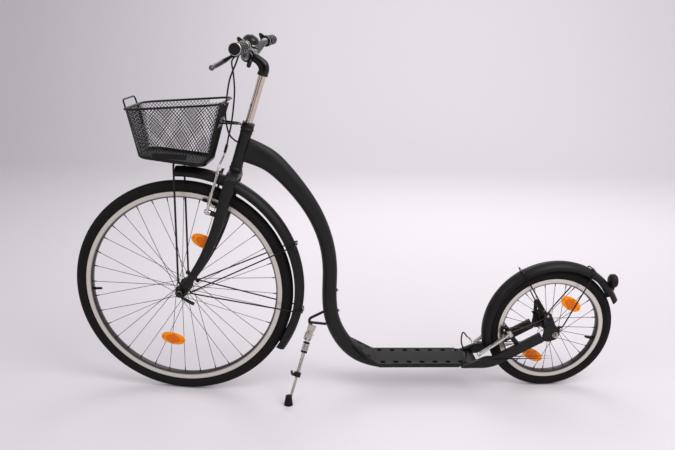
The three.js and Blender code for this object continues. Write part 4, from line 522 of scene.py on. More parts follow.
class Finish:
    """A material under construction: its nodes, its shader and the slot it stands for."""

    def __init__(self, name, slot, colour, roughness, metallic=0.0, coat=0.0, coat_roughness=0.1, sheen=0.5):
        self.material = bpy.data.materials.new(name)
        self.material.use_nodes = True
        self.material['slot'] = slot
        self.tree = self.material.node_tree
        self.shader = self.tree.nodes['Principled BSDF']
        self.colour = tint(colour)
        plain = {'Base Color': self.colour, 'Roughness': roughness, 'Metallic': metallic, 'Coat Weight': coat,
                 'Coat Roughness': coat_roughness, 'Specular IOR Level': sheen}
        for socket, value in plain.items():
            self.shader.inputs[socket].default_value = value

    def node(self, kind, settings=None, values=None, output=0):
        """Adds a node, sets it up, fills its sockets with values or links, and gives one of its outputs."""
        made = self.tree.nodes.new(kind)
        for key, value in (settings or {}).items():
            if key == 'stops':
                for stop, (place, shade) in zip(made.color_ramp.elements, value):
                    stop.position, stop.color = place, shade
            else:
                setattr(made, key, value)
        for key, value in (values or {}).items():
            if isinstance(value, Signal):
                self.tree.links.new(value.socket, made.inputs[key])
            else:
                made.inputs[key].default_value = value
        return Signal(self, made.outputs[output])

    def place(self):
        """Where a point lies on the object, in metres."""
        return self.node('ShaderNodeTexCoord', output='Object')

    def noise(self, scale, at=None, detail=2.0, roughness=0.5):
        """Soft spots of about 1/scale metres."""
        return self.node('ShaderNodeTexNoise', {'noise_dimensions': '3D'}, {
            'Vector': at or self.place(), 'Scale': scale, 'Detail': detail, 'Roughness': roughness})

    def cells(self, scale):
        """Distance from the nearest of many scattered points."""
        return self.node('ShaderNodeTexVoronoi', values={'Vector': self.place(), 'Scale': scale})

    def within(self, matrix):
        """Coordinates in metres in a piece's own group."""
        spot, angles, _ = matrix.decompose()
        return self.node('ShaderNodeMapping', {'vector_type': 'TEXTURE'}, {
            'Vector': self.place(), 'Location': spot, 'Rotation': angles.to_euler()})

    def axes(self, at):
        """A vector's three numbers."""
        split = self.tree.nodes.new('ShaderNodeSeparateXYZ')
        self.tree.links.new(at.socket, split.inputs[0])
        return [Signal(self, output) for output in split.outputs]

    def vector(self, x, y, z):
        """A vector of three numbers."""
        return self.node('ShaderNodeCombineXYZ', values={0: x, 1: y, 2: z})

    def blend(self, amount, first, second):
        """A colour between two others."""
        return self.node('ShaderNodeMix', {'data_type': 'RGBA'}, {0: amount, 6: first, 7: second}, output=2)

    def toned(self, times, plus=0.0):
        """The material's own colour made lighter or darker."""
        return (*(c * times + plus for c in self.colour[:3]), 1)

    def bump(self, height, distance, strength=1.0):
        """Raises the surface by a height from 0 to 1 times a distance in metres."""
        self.feed('Normal', self.node('ShaderNodeBump', values={
            'Height': height, 'Distance': distance, 'Strength': strength}))

    def feed(self, socket, signal):
        """Links a varying value to the shader."""
        self.tree.links.new(signal.socket, self.shader.inputs[socket])


def painted(name, slot, colour, roughness, coat=0.0, peel=0.00003):
    """Powder coat: a fine orange peel, with a little dust and handling in its sheen."""
    finish = Finish(name, slot, colour, roughness, coat=coat, coat_roughness=0.12, sheen=0.24)
    worn = finish.noise(11, detail=5, roughness=0.6)
    finish.feed('Roughness', worn * 0.16 + (roughness - 0.08))
    finish.feed('Base Color', finish.blend(worn ** 3, finish.colour, finish.toned(1.5, 0.004)))
    finish.bump(finish.noise(1100, detail=1), peel, 0.6)
    return finish.material


def moulded(name, slot, colour, roughness, grain=650, depth=0.00006):
    """Moulded plastic or rubber with a fine leathery grain."""
    finish = Finish(name, slot, colour, roughness, sheen=0.18)
    broad = finish.noise(23, detail=4)
    finish.feed('Roughness', broad * 0.2 + (roughness - 0.1))
    finish.feed('Base Color', finish.blend(broad, finish.colour, finish.toned(1.35)))
    finish.bump(finish.cells(grain) + finish.noise(grain / 3) * 0.5, depth, 0.5)
    return finish.material


def metal(name, slot, colour, roughness, grain=900, depth=0.00002, coat=0.0):
    """Plated or tumbled metal: tiny pits, and smears in its shine."""
    finish = Finish(name, slot, colour, roughness, metallic=1.0, coat=coat)
    smear = finish.noise(37, detail=5, roughness=0.65)
    finish.feed('Roughness', smear * 0.14 + (roughness - 0.05))
    finish.feed('Base Color', finish.blend(smear ** 2, finish.colour, finish.toned(0.78)))
    finish.bump(finish.noise(grain, detail=2), depth, 0.5)
    return finish.material


def spun(name, slot, colour, wheel, track):
    """Rim alloy: a machined brake track in fine turned lines, a duller band below it and a black well."""
    finish = Finish(name, slot, colour, 0.34)
    x, y, z = finish.axes(finish.within(wheel))
    radius = (x * x + z * z) ** 0.5
    rings = finish.noise(1.0, finish.vector(radius * 5200, y * 300, (x * z) * 40), detail=3, roughness=0.7)
    beside = y.of('ABSOLUTE').over(0.0105)
    machined = radius.over(track + 0.0035) * beside
    bare = radius.over(track + 0.0006) * beside
    finish.feed('Metallic', bare * 0.8)
    finish.feed('Roughness', rings * 0.16 + 0.3 - bare * 0.06)
    dull = finish.toned(0.42)
    silver = finish.blend(rings * 0.4, finish.blend(machined, dull, finish.colour), dull)
    finish.feed('Base Color', finish.blend(bare, tint("0b0a0a"), silver))
    finish.bump(rings * bare, 0.00003, 0.5)
    return finish.material


def tyre_rubber(name, colour, wheel, radius, blocks):
    """Tyre rubber: a ribbed side, and sipes cut across the tread's shoulders."""
    finish = Finish(name, 'tyre_rubber', colour, 0.72, sheen=0.12)
    x, y, z = finish.axes(finish.within(wheel))
    reach = (x * x + z * z) ** 0.5
    turned_by = finish.node('ShaderNodeMath', {'operation': 'ARCTAN2'}, {0: z, 1: x})
    side = y.of('ABSOLUTE')
    tread = reach.over(radius - 0.0105)
    sipes = (turned_by * blocks + side * 260).of('SINE').over(0.86) * tread * side.over(0.0035)
    ribs = (reach * 5200).of('SINE') * 0.5 + 0.5
    ribbed = (reach * -1 + (radius - 0.0235)).over(0) * ribs
    dusty = finish.noise(60, detail=5, roughness=0.7)
    finish.feed('Roughness', dusty * 0.22 + 0.6)
    worn = dusty ** 3 + tread * 0.18
    finish.feed('Base Color', finish.blend(worn, finish.colour, finish.toned(1.7, 0.003)))
    finish.bump(finish.noise(1500) * 0.12 + ribbed * 0.22 - sipes, 0.0009, 0.7)
    return finish.material


def prism(name, slot, colour, deep, pitch=420):
    """A reflector's or lens's plastic: bright pyramids under a clear face."""
    finish = Finish(name, slot, colour, 0.3, coat=0.1, coat_roughness=0.1, sheen=0.15)
    x, y, z = finish.axes(finish.place())
    waves = pitch * math.pi
    facets = (((x + z) * waves).of('SINE') * ((x - z + y) * waves).of('SINE')).of('ABSOLUTE')
    depth = facets ** 2 * 0.75 + finish.noise(70) * 0.2
    finish.feed('Base Color', finish.blend(depth, finish.colour, tint(deep)))
    finish.feed('Roughness', facets * 0.2 + 0.24)
    finish.bump(facets, 0.0006, 0.6)
    return finish.material


def grit_deck(name, colour, deck):
    """The footboard's coat, rough as fine emery along its middle, where feet have dulled it."""
    finish = Finish(name, 'frame_paint', colour, 0.62, sheen=0.3)
    x, y, z = finish.axes(finish.within(deck))
    middle = 1 - y.of('ABSOLUTE').over(0.031)
    grit = finish.cells(900) * middle + finish.noise(1100) * 0.15
    trodden = finish.noise(26, detail=5, roughness=0.7)
    finish.feed('Roughness', trodden * 0.2 + 0.5 + middle * 0.12)
    worn = trodden * middle * 0.7 + middle * 0.2
    finish.feed('Base Color', finish.blend(worn, finish.colour, finish.toned(2.4, 0.004)))
    finish.bump(grit, 0.00022, 0.8)
    return finish.material


# Sizes and colours that a user would change.

def length(default, text, name):
    """A size in metres."""
    return bpy.props.FloatProperty(name=name, description=text, default=default, min=0.0001, unit='LENGTH')


def shade(code, text, name):
    """A colour."""
    return bpy.props.FloatVectorProperty(name=name, description=text, default=tint(code)[:3], size=3, min=0,
                                         max=1, subtype='COLOR')


class WheelSizes(bpy.types.PropertyGroup):
    front_radius: length(0.348, "From the front axle to the tread", "Front radius")
    rear_radius: length(0.2144, "From the rear axle to the tread", "Rear radius")
    tyre_width: length(0.0368, "Across each tyre", "Tyre width")
    spoke: length(0.0018, "Thickness of a spoke", "Spoke")


class BarSizes(bpy.types.PropertyGroup):
    bar: length(0.0222, "Thickness of the handlebar", "Bar")
    grip: length(0.031, "Thickness of a grip", "Grip")
    cable: length(0.005, "Thickness of a brake cable", "Cable")


class FrameSizes(bpy.types.PropertyGroup):
    tube: length(0.047, "Thickness of the main tube at its round part", "Main tube")
    deck_width: length(0.114, "Across the footboard", "Footboard width")
    deck_thickness: length(0.003, "Thickness of the footboard's sheet", "Footboard sheet")
    stay: length(0.0044, "Thickness of a fender stay", "Fender stay")


class BasketSizes(bpy.types.PropertyGroup):
    long: length(0.281, "Length of the basket's rim", "Length")
    wide: length(0.2, "Width of the basket's rim", "Width")
    deep: length(0.16, "Depth of the basket", "Depth")
    strand: length(0.0022, "Thickness of a strand of the net", "Strand")
    meshes: bpy.props.IntProperty(name="Meshes", description="Meshes of the net round the basket", default=82,
                                  min=16)


class Colours(bpy.types.PropertyGroup):
    frame: shade("121110", "Satin paint of the frame, fork and stays", "Frame")
    plastic: shade("12100f", "Fenders and other moulded plastic", "Plastic")
    gloss: shade("060505", "Stem, bell and lever brackets", "Gloss")
    rubber: shade("121010", "Tyres, grips and pads", "Rubber")
    rim: shade("dcd6cd", "Rims", "Rim")
    alloy: shade("cfccc5", "Brake arms and other tumbled alloy", "Alloy")
    grey: shade("606165", "Handlebar and lever blades", "Grey")
    steel: shade("b9b3ac", "Bolts and nuts", "Steel")
    spokes: shade("57504b", "Spokes", "Spokes")
    chrome: shade("cdbfb3", "The polished stem post", "Chrome")
    amber: shade("ff9a00", "Spoke reflectors", "Reflector")
    amber_deep: shade("d85800", "Depth of the spoke reflectors", "Reflector depth")
    core: shade("e27200", "Middle of the spoke reflectors", "Reflector core")
    core_deep: shade("b04400", "Depth of the reflectors' middle", "Core depth")
    lens: shade("7a1216", "Rear lens", "Lens")
    lens_deep: shade("3c0508", "Depth of the rear lens", "Lens depth")


def power(default, text, name):
    """A lamp's strength in watts."""
    return bpy.props.FloatProperty(name=name, description=text, default=default, min=0, unit='POWER')


class StageSizes(bpy.types.PropertyGroup):
    focal: bpy.props.FloatProperty(name="Focal length", default=40.57,
                                   description="The camera's focal length in millimetres")
    lamp: power(72.0, "Strength of the main lamp", "Main lamp")
    fill: power(26.0, "Strength of the two softer lamps", "Fill lamps")
    wall: power(54.0, "Strength of the lamp on the backdrop", "Wall lamp")
    floor: shade("dbd5d8", "The floor", "Floor")
    backdrop: shade("f0edf1", "What stands behind the floor", "Backdrop")


def sizes(group):
    """One of the scene's groups of sizes."""
    return getattr(bpy.context.scene, 'kick_bike_' + group)


def finish(name):
    """A material by name, made on first use from the scene's colours."""
    full = 'kick bike ' + name
    hue, wheels, track = sizes('colours'), sizes('wheels'), 13.4
    makers = {
        'frame paint': lambda: painted(full, 'frame_paint', hue.frame, 0.44),
        'deck coat': lambda: grit_deck(full, hue.frame, SCOOTER),
        'gloss black': lambda: painted(full, 'gloss_black', hue.gloss, 0.24, coat=0.2, peel=0.00001),
        'black plastic': lambda: moulded(full, 'black_plastic', hue.plastic, 0.46),
        'fender plastic': lambda: moulded(full, 'black_plastic', hue.plastic, 0.4, grain=1200, depth=0.00002),
        'basket coat': lambda: painted(full, 'black_plastic', hue.gloss, 0.38, peel=0.00001),
        'grip rubber': lambda: moulded(full, 'grip_rubber', hue.rubber, 0.6, grain=520, depth=0.00012),
        'pad rubber': lambda: moulded(full, 'tube_rubber', hue.rubber, 0.75, grain=800),
        'inner rubber': lambda: moulded(full, 'tube_rubber', hue.rubber, 0.8),
        'cable casing': lambda: painted(full, 'cable_black', hue.gloss, 0.34, peel=0.00001),
        'front tyre': lambda: tyre_rubber(full, hue.rubber, metric(FRONT_WHEEL), wheels.front_radius, 96),
        'rear tyre': lambda: tyre_rubber(full, hue.rubber, metric(REAR_WHEEL), wheels.rear_radius, 60),
        'front rim': lambda: spun(full, 'rim_alloy', hue.rim, metric(FRONT_WHEEL), (FRONT_SEAT - track) * MM),
        'rear rim': lambda: spun(full, 'rim_alloy', hue.rim, metric(REAR_WHEEL), (REAR_SEAT - track) * MM),
        'brake alloy': lambda: metal(full, 'brake_alloy', hue.alloy, 0.26, grain=700, depth=0.00003),
        'grey alloy': lambda: metal(full, 'dark_alloy', hue.grey, 0.3),
        'steel': lambda: metal(full, 'bright_steel', hue.steel, 0.24),
        'chrome': lambda: metal(full, 'bright_steel', hue.chrome, 0.1, grain=300, depth=0.000005),
        'spoke wire': lambda: metal(full, 'bright_steel', hue.spokes, 0.42),
        'amber': lambda: prism(full, 'amber', hue.amber, hue.amber_deep),
        'deep amber': lambda: prism(full, 'amber', hue.core, hue.core_deep),
        'red lens': lambda: prism(full, 'red_lens', hue.lens, hue.lens_deep, pitch=300),
    }
    return bpy.data.materials.get(full) or makers[name]()


def metric(place):
    """A group's place without its change from millimetres."""
    return place @ Matrix.Scale(1 / MM, 4)


# Wheels

WHEELS = {
    'front': {'place': FRONT_WHEEL, 'seat': FRONT_SEAT, 'spokes': 36, 'valve': -175,
              'reflectors': ((68, 174), (-101, 174))},
    'rear': {'place': REAR_WHEEL, 'seat': REAR_SEAT, 'spokes': 28, 'valve': -15,
             'reflectors': ((59, 108), (-119, 108))},
}


def on_wheel(obj, end, name, wheel, coat, node, degrees=38):
    """Settles a piece that turns with a wheel."""
    settle(obj, end + name, wheel['place'], end + '_wheel', coat, [end + node], degrees)


def both_faces(half, steps=64):
    """A body spun about Y from half of its profile, which is mirrored for its other side."""
    return turned(half + [(r, -y) for r, y in half[::-1]], steps)


def tyre(end, wheel):
    half = sizes('wheels').tyre_width / 2 / MM
    radius = getattr(sizes('wheels'), end + '_radius') / MM
    centre, seat = radius - half, wheel['seat']
    tread_edge, tread_rise, groove_depth = 46, 0.7, 1.5
    angles = [*range(-125, -49, 5), *range(-46, 47, 2), *range(50, 126, 5)]
    outer = []
    for degrees in angles:
        grooved = min(abs(degrees - groove) for groove in (-34, -12, 12, 34)) < 2.1
        rise = tread_rise if abs(degrees) < tread_edge else 0
        reach, angle = half - (groove_depth if grooved else 0) + rise - tread_rise, math.radians(degrees)
        outer.append((centre + reach * math.cos(angle), reach * math.sin(angle)))
    bead = [(seat + 5.4, 14.2), (seat + 3, 13.6), (seat + 3, 12.8), (seat + 5.4, 12.6), (seat + 6.5, 10.7),
            (seat + 0.3, 10.7), (seat + 0.3, 7.7)]
    wall, inside = half - 3, [math.radians(degrees) for degrees in range(75, -76, -15)]
    inner = [(centre + wall * math.cos(a), wall * math.sin(a)) for a in inside]
    ring = turned(outer + bead + inner + [(r, -y) for r, y in bead[::-1]], steps=144)
    on_wheel(ring, end, '_tyre_tread', wheel, end + ' tyre', '_tyre', degrees=30)


def rim(end, wheel):
    half = [(-3, 5), (-0.6, 9.4), (0, 10.4), (4.4, 10.8), (4.9, 11.2), (4.9, 12), (4.4, 12.5), (-13.2, 12.5),
            (-14.6, 11.8), (-16.2, 8), (-17, 3)]
    hoop = both_faces([(wheel['seat'] + above, y) for above, y in half], 144)
    on_wheel(hoop, end, '_rim_hoop', wheel, end + ' rim', '_rim', degrees=25)


def inner_tube(end, wheel):
    seat, along = wheel['seat'], point_on((0, 0), 1, wheel['valve'])
    angles = [TAU * i / 20 for i in range(20)]
    ring = turned([(seat + 19 + 15 * math.cos(a), 14 * math.sin(a)) for a in angles], steps=72)
    stem = rod(along * (seat - 42), along * (seat + 8), 3.4, steps=16)
    cap = rod(along * (seat - 42.2), along * (seat - 27), 3.2, 4.4, bevel=1.2, steps=16)
    nut = rod(along * (seat - 22), along * (seat - 19.6), 5.4, steps=12)
    on_wheel(joined(ring, stem, cap, nut), end, '_air_tube', wheel, 'inner rubber', '_inner_tube')


def hub(end, wheel):
    half = [(5.2, 50), (8.4, 50), (9, 49.4), (9, 40), (10, 37), (12.5, 34), (20.4, 31.8), (21, 31.2),
            (21, 28.8), (20.4, 28.2), (14, 26.5), (12, 24), (11.4, 12)]
    on_wheel(both_faces(half, 48), end, '_hub_shell', wheel, 'gloss black', '_hub', degrees=28)


def spokes(end, wheel):
    """Two crossing pairs of spokes with their nipples and heads, copied round the hub."""
    thick, inner, outer = sizes('wheels').spoke / 2 / MM, 19, wheel['seat'] - 16.4
    crossing, nipple = math.radians(58), 12
    parts = []
    for i in range(4):
        side, lace = (1 if i % 2 else -1), (1 if i % 4 < 2 else -1)
        rim_turn = TAU * i / wheel['spokes']
        hub_turn = rim_turn + lace * crossing
        start = Vector((inner * math.cos(hub_turn), side * 30 + lace * 1.9, inner * math.sin(hub_turn)))
        tip = Vector((outer * math.cos(rim_turn), side * 2.2 + lace * 0.9, outer * math.sin(rim_turn)))
        root = start - Vector((0, lace * 3.2, 0))
        nipple_at = start.lerp(tip, 1 - nipple / (outer - inner))
        parts.append(wire([root, start, start.lerp(tip, 0.02), tip], thick, round_steps=1))
        parts.append(rod(nipple_at, tip, 1.5, 2, bevel=0.3, steps=8))
        parts.append(rod(root + Vector((0, lace * 0.2, 0)), root - Vector((0, lace * 0.9, 0)), 1.7, steps=8))
    laced = around(joined(*parts), wheel['spokes'] // 4)
    on_wheel(laced, end, '_spokes', wheel, 'spoke wire', '_hub')


def reflectors(end, wheel):
    """Amber plates that lie against the spokes' plane, each with its raised middle, bar and pins."""
    hub_edge, rim_edge, narrowing = 19, wheel['seat'] - 19.8, 27.8
    outline = [(20.5 * a, 39 * b) for a, b in section(48, 0.94)]
    tilt = math.atan2(narrowing, rim_edge - hub_edge)
    for number, (degrees, radius) in enumerate(wheel['reflectors'], 1):
        side = 30 - narrowing * (radius - hub_edge) / (rim_edge - hub_edge) + 1.5
        seat = turn(-degrees, 'Y') @ move(radius, -side, 0) @ Matrix.Rotation(tilt, 4, 'Z')
        face = plate(outline, 4.6, -2.6, bevel=1.4, round_steps=2)
        ridge = plate([(x * 0.66, z * 0.6) for x, z in outline], 5.6, -3.1, bevel=0.6)
        bar = plate([(-19, -5), (19, -5), (19, 5), (-19, 5)], 6, -3, bevel=0.8)
        pins = [plate(disc(0, z, 3.4), 5.6, -3.1, bevel=0.5) for z in (-31, 31)]
        node = f'_reflector_{number}'
        on_wheel(shift(face, seat), end, node + '_face', wheel, 'amber', node)
        on_wheel(shift(joined(ridge, bar, *pins), seat), end, node + '_core', wheel, 'deep amber', node)


def axle(end):
    """An axle with its washers and nuts; the front one ends in the quick release's seat."""
    quick = end == 'front'
    seat = FRONT_SIDE if quick else REAR_SIDE
    out, cam_seat = seat + 13.7, -60.6
    parts = [rod((0, cam_seat if quick else -out, 0), (0, out, 0), 4.9, bevel=0.8)]
    for side in ((1,) if quick else (1, -1)):
        parts.append(rod((0, side * seat, 0), (0, side * (seat + 1.4), 0), 10.2, steps=40))
        parts.append(rod((0, side * (seat + 1.4), 0), (0, side * (seat + 8), 0), 9, bevel=1, steps=6))
    if quick:
        parts.append(rod((0, -seat, 0), (0, cam_seat, 0), 9, bevel=1, steps=40))
    place = STEERING @ move(-54) if quick else REAR_WHEEL
    body = 'steering' if quick else 'frame'
    settle(joined(*parts), end + '_axle_nuts', place, body, 'steel', [end + '_axle'], degrees=25)


def quick_release():
    steps = 20
    cam = turned([(0, -6.5), (6.5, -6.5), (8, -5.4), (8, 5.4), (6.5, 6.5), (0, 6.5)], steps=40, upright=True)
    line = smooth([(0, 0, 0), (16, -5, 0), (34, -7, 0), (56, -5, 0)], steps)
    depths, widths = eased([4, 2.6, 2.3, 2.6], steps), eased([5.4, 4.8, 5.4, 5.6], steps)
    blade = oval(line, depths, widths, beside=(0, 0, 1), square=0.8)
    settle(joined(cam, blade), 'quick_release_handle', QUICK_RELEASE, 'quick_release', 'gloss black',
           ['quick_release_lever'])


# Steering

def fork():
    """The two blades, which bend forward below and narrow to their tips, with crown, steerer and studs."""
    top, bend_from, tip = 393.3, 265, 22
    heights = [top] + [bend_from - (bend_from - tip) * i / 26 for i in range(27)]
    shares = [(top - h) / (top - tip) for h in heights]
    bends = [max(0, (bend_from - h) / (bend_from - tip)) for h in heights]
    depths, widths = [18.5 - 6.5 * s for s in shares], [14 - 7 * s for s in shares]
    parts = []
    for side in (-1, 1):
        line = [Vector((-45 * b * b, side * (47 + 7 * s), h)) for h, s, b in zip(heights, shares, bends)]
        parts.append(oval(line, depths, widths, sides=32))
        parts += fork_tip(side) + brake_stud(side, BRAKE_UP)
    shoulder = [(23.5, 416), (40, 413), (52, 407), (60, 398), (61, 392.5), (61, 389)]
    crown = shoulder + [(-y, z) for y, z in shoulder[::-1]]
    parts.append(plate(crown, 37, 0, 'cross', bevel=9, round_steps=4))
    parts.append(rod((0, 0, 398), (0, 0, 552), 12.7))
    parts.append(turned([(0, 411), (19, 411), (19.6, 412), (18, 416.2), (0, 416.2)], upright=True))
    settle(joined(*parts), 'fork_blades', STEERING, 'steering', 'frame paint', ['fork'], degrees=40)


def fork_tip(side):
    """A blade's flat end with the axle's seat and the eyes of two stays."""
    middle, root, seat = side * 53.3, (-45, 22), (-54, 0)
    parts = [plate(disc(*seat, 15), 6, middle), plate(disc(*root, 11), 6, middle),
             plate(strip([root, seat], 22), 6, middle)]
    for eye in (BASKET_EYE, FENDER_EYE):
        parts += [plate(strip([root, eye], 10), 5.8, middle), plate(disc(*eye, 6.5), 5.9, middle)]
    return parts


def brake_stud(side, place, sink=0.0):
    """A boss and the pin that a brake arm turns on, in the brake's own group."""
    across = side * STUD_OUT
    steps = ((-8 + sink, -31, 8, 32), (-23 + sink, -46.6, 4, 20))
    return [shift(rod((back, across, 0), (front, across, 0), radius, steps=count), place)
            for back, front, radius, count in steps]


def stud_bolt(side, place):
    """The bolt's head, dished, with a socket."""
    head = turned([(0, 1.6), (3, 1.6), (3, 3.8), (5.4, 4.2), (6.8, 2.6), (7, 0), (0, 0)], steps=32)
    return shift(head, place @ move(-46.6, side * STUD_OUT, 0) @ turn(90, 'Z'))


def headset():
    """The head tube with its pressed cups and its two bands, and the lock nut."""
    cup = [(14, 0), (17.4, 0), (18.6, 1.6), (20, 3), (20, 8.6), (19, 10), (17.5, 12), (14, 12)]
    tube = [(14, 428), (17.5, 428), (17.5, 542.9), (14, 542.9)]
    band = [(17, 0), (18.6, 0.8), (18.6, 7.2), (17, 8)]
    stacked = ((cup, 416.3), (cup, 542.6), (tube, 0), (band, 429), (band, 534))
    parts = [turned([(r, z + low) for r, z in profile], upright=True) for profile, low in stacked]
    settle(joined(*parts), 'head_tube_cups', HEAD, 'frame', 'frame paint', ['head_tube'], degrees=30)
    nut = turned([(12.9, 558.5), (17.6, 558.5), (18.2, 559.2), (18.2, 562), (12.9, 562)], upright=True)
    sides = [(12.9, 562), (18.6, 562), (19, 562.6), (19, 568), (17.5, 569.4), (12.9, 569.4)]
    parts = joined(nut, turned(sides, 8, upright=True))
    settle(parts, 'head_lock_nut', STEERING, 'steering', 'gloss black', ['lock_nut'], degrees=30)


def stem():
    """A chromed post and the gloss arm that turns forward over it to the bar's clamp."""
    steps = 32
    post = turned([(0, 500), (10.2, 500), (11.1, 501), (11.1, 722), (0, 722)], upright=True)
    settle(post, 'stem_post', STEERING, 'steering', 'chrome', ['stem'])
    line = smooth([(0, 0, 715), (0, 0, 730), (-6, 0, 742), (-26, 0, 753), CLAMP], steps)
    depths, widths = eased([15, 15.6, 16, 13.6, 14], steps), eased([15, 15.6, 15.4, 14, 14], steps)
    arm = oval(line, depths, widths, sides=36, square=0.86)
    clamp = turned([(13, -22), (17.6, -22), (19, -20.8), (19, 20.8), (17.6, 22), (13, 22)])
    lug = rod((-46, 0, 757), (-46, 0, 725), 7.4, 6.6, bevel=1.6)
    pinch_bolt = rod((-46, 0, 725.4), (-46, 0, 722), 4.6, bevel=0.8, steps=6)
    ring = [(11.3, 713), (15.6, 713), (16.2, 714), (16.2, 719), (15.2, 720), (11.3, 720)]
    collar = turned(ring, upright=True)
    screw = rod((-4, 0, 742), (-4, 0, 754.6), 6, 5, bevel=1)
    parts = joined(arm, shift(clamp, move(*CLAMP)), lug, pinch_bolt, collar, screw)
    settle(parts, 'stem_arm', STEERING, 'steering', 'gloss black', ['stem'])


def on_bar(side, out, share):
    """A point on the handlebar: out from the middle, and how far up its rise."""
    return CLAMP + Vector((8 * share, side * out, 37 * share))


def bar_place(side, inset):
    """A place on the bar, inset from its end, whose Y axis runs along the grip."""
    end = on_bar(side, BAR_END, 1)
    out = (end - on_bar(side, BAR_BEND, 1)).normalized()
    facing = Vector((0, side, 0)).rotation_difference(out).to_matrix().to_4x4()
    return Matrix.Translation(end - out * inset) @ facing


def lever_place(side):
    """The plane of a brake lever: Z reaches from the bar, Y runs along it and X is the pivot's axis."""
    return bar_place(side, 134) @ turn(-144, 'Y')


def handlebar():
    thick = sizes('bars').bar / 2 / MM
    rise = [(BAR_END - 1, 1), (BAR_BEND, 1), (82, 0)]
    line = [on_bar(-1, *spot) for spot in rise] + [on_bar(1, *spot) for spot in rise[::-1]]
    bar = wire(line, thick, bend=24, round_steps=8)
    sleeve = turned([(11, -46), (12.7, -40), (12.7, 40), (11, 46)], 48)
    settle(joined(bar, shift(sleeve, move(*CLAMP))), 'handlebar_tube', STEERING, 'steering', 'grey alloy',
           ['handlebar'])


def grips():
    """Ribbed rubber grips, their outer and inner rings, and ten lines of small dots."""
    thick = sizes('bars').grip / 2 / MM
    rib = [(thick - 0.5, 0), (thick, -1), (thick, -5), (thick - 0.5, -6)]
    ribs = [(r, y - 9 - i * 7.4) for i in range(14) for r, y in rib]
    cap = [(0, 2.4), (13.6, 2.4), (14.8, 1.4), (14.8, -5), (thick, -5)]
    collar = [(thick, -113), (17, -113), (17.5, -113.8), (17.5, -117.4), (17, -118), (11.4, -118), (11.4, 0),
              (0, 0)]
    for name, side in SIDES:
        place = STEERING @ bar_place(side, 0)
        body = turned([(r, side * y) for r, y in cap + ribs + collar], 56)
        settle(body, 'grip_body_' + name, place, 'steering', 'grip rubber', ['grip_' + name])
        rings = []
        for out, back in ((1.6, -2.6), (-107.6, -110.8)):
            ring = [(14.9, out), (15.9, out), (16.5, out - 0.6)]
            ring += [(16.5, back + 0.6), (15.9, back), (14.9, back)]
            rings.append(turned([(r, side * y) for r, y in ring], 56))
        dot = rod((thick - 0.9, 0, 0), (thick + 0.12, 0, 0), 1.4, bevel=0.1, steps=10)
        row = [copied(dot, move(0, side * (-19.5 - 14.8 * i), 0) @ turn(18 * (i % 2), 'Y')) for i in range(6)]
        bpy.data.objects.remove(dot)
        dots = around(joined(*row), 10)
        settle(joined(*rings, dots), 'grip_rings_' + name, place, 'steering', 'brake alloy')


def sided(outline, side):
    """An outline drawn for the right and mirrored for the left, which runs the same way round on both."""
    return [(side * y, z) for y, z in outline][::side]


def lever_bracket(name, side, place):
    """The band round the bar, the ears that hold the lever, and the cable's knurled adjuster."""
    band = turned([(11.4, -8), (15, -8), (16, -7), (16, 7), (15, 8), (11.4, 8)], 48)
    web = sided([(-8, 12), (8, 12), (5, 28), (-8, 33)], side)
    ear = sided([(-8, 12), (8, 12), (12.4, 36), (9, 43), (0, 43.4), (-4.6, 38)], side)
    parts = [band, plate(web, 11, 0, 'cross', bevel=2, round_steps=2)]
    parts += [plate(ear, 3.6, x, 'cross', bevel=1.2, round_steps=2) for x in (-5.8, 5.8)]
    along, up = side * LEVER_PIVOT[0], LEVER_PIVOT[1]
    parts.append(rod((-8.4, along, up), (8.4, along, up), 3.4, bevel=0.9))
    nub = [(9, -8), (13, -10), (29, -4), (31, 0), (28, 4), (12, 9)]
    parts.append(plate(nub, 13, 0, bevel=2, round_steps=2))
    parts.append(rod((0, 0, ADJUSTER_UP), (0, -side * 14, ADJUSTER_UP), 4.8, bevel=0.8))
    settle(joined(*parts), 'lever_clamp_' + name, place, 'steering', 'gloss black', ['lever_bracket_' + name])
    knurl = around(rod((4.1, -side * 14.4, 0), (4.1, -side * 19, 0), 0.8, steps=8), 12)
    core = rod((0, -side * 14, 0), (0, -side * 23.6, 0), 4.2, 3, bevel=0.7)
    adjuster = shift(joined(core, knurl), move(0, 0, ADJUSTER_UP))
    settle(adjuster, 'lever_adjuster_' + name, place, 'steering', 'brake alloy')


def lever_blade(name, side, place):
    """The lever's black root, its grey blade and the ball at its end."""
    steps, root_end, blade_start, ball = 40, 18, 14, 7.4
    bends = (LEVER_PIVOT, (26, 52), (54, 64), (88, 73), LEVER_TIP)
    line = smooth([(0, side * y, z) for y, z in bends], steps)
    depths, widths = eased([5.6, 4.4, 3.4, 3, 3.2], steps), eased([3.4, 5.2, 6.6, 6.8, 5.6], steps)
    body, node = 'lever_' + name, ['brake_lever_' + name]
    root = oval(line[:root_end], [d + 0.6 for d in depths[:root_end]], [w + 0.3 for w in widths[:root_end]],
                beside=(1, 0, 0), square=0.75)
    settle(root, 'lever_root_' + name, place, body, 'gloss black', node)
    blade = oval(line[blade_start:], depths[blade_start:], widths[blade_start:], (1, 0, 0), square=0.75)
    arc = [(ball * math.sin(a), -ball * math.cos(a)) for a in (math.pi * i / 16 for i in range(17))]
    tip = shift(turned(arc, 32), move(0, side * LEVER_TIP[0], LEVER_TIP[1]))
    settle(joined(blade, tip), 'lever_blade_' + name, place, body, 'grey alloy', node)


def brake_levers():
    for name, side in SIDES:
        place = STEERING @ lever_place(side)
        lever_bracket(name, side, place)
        lever_blade(name, side, place)


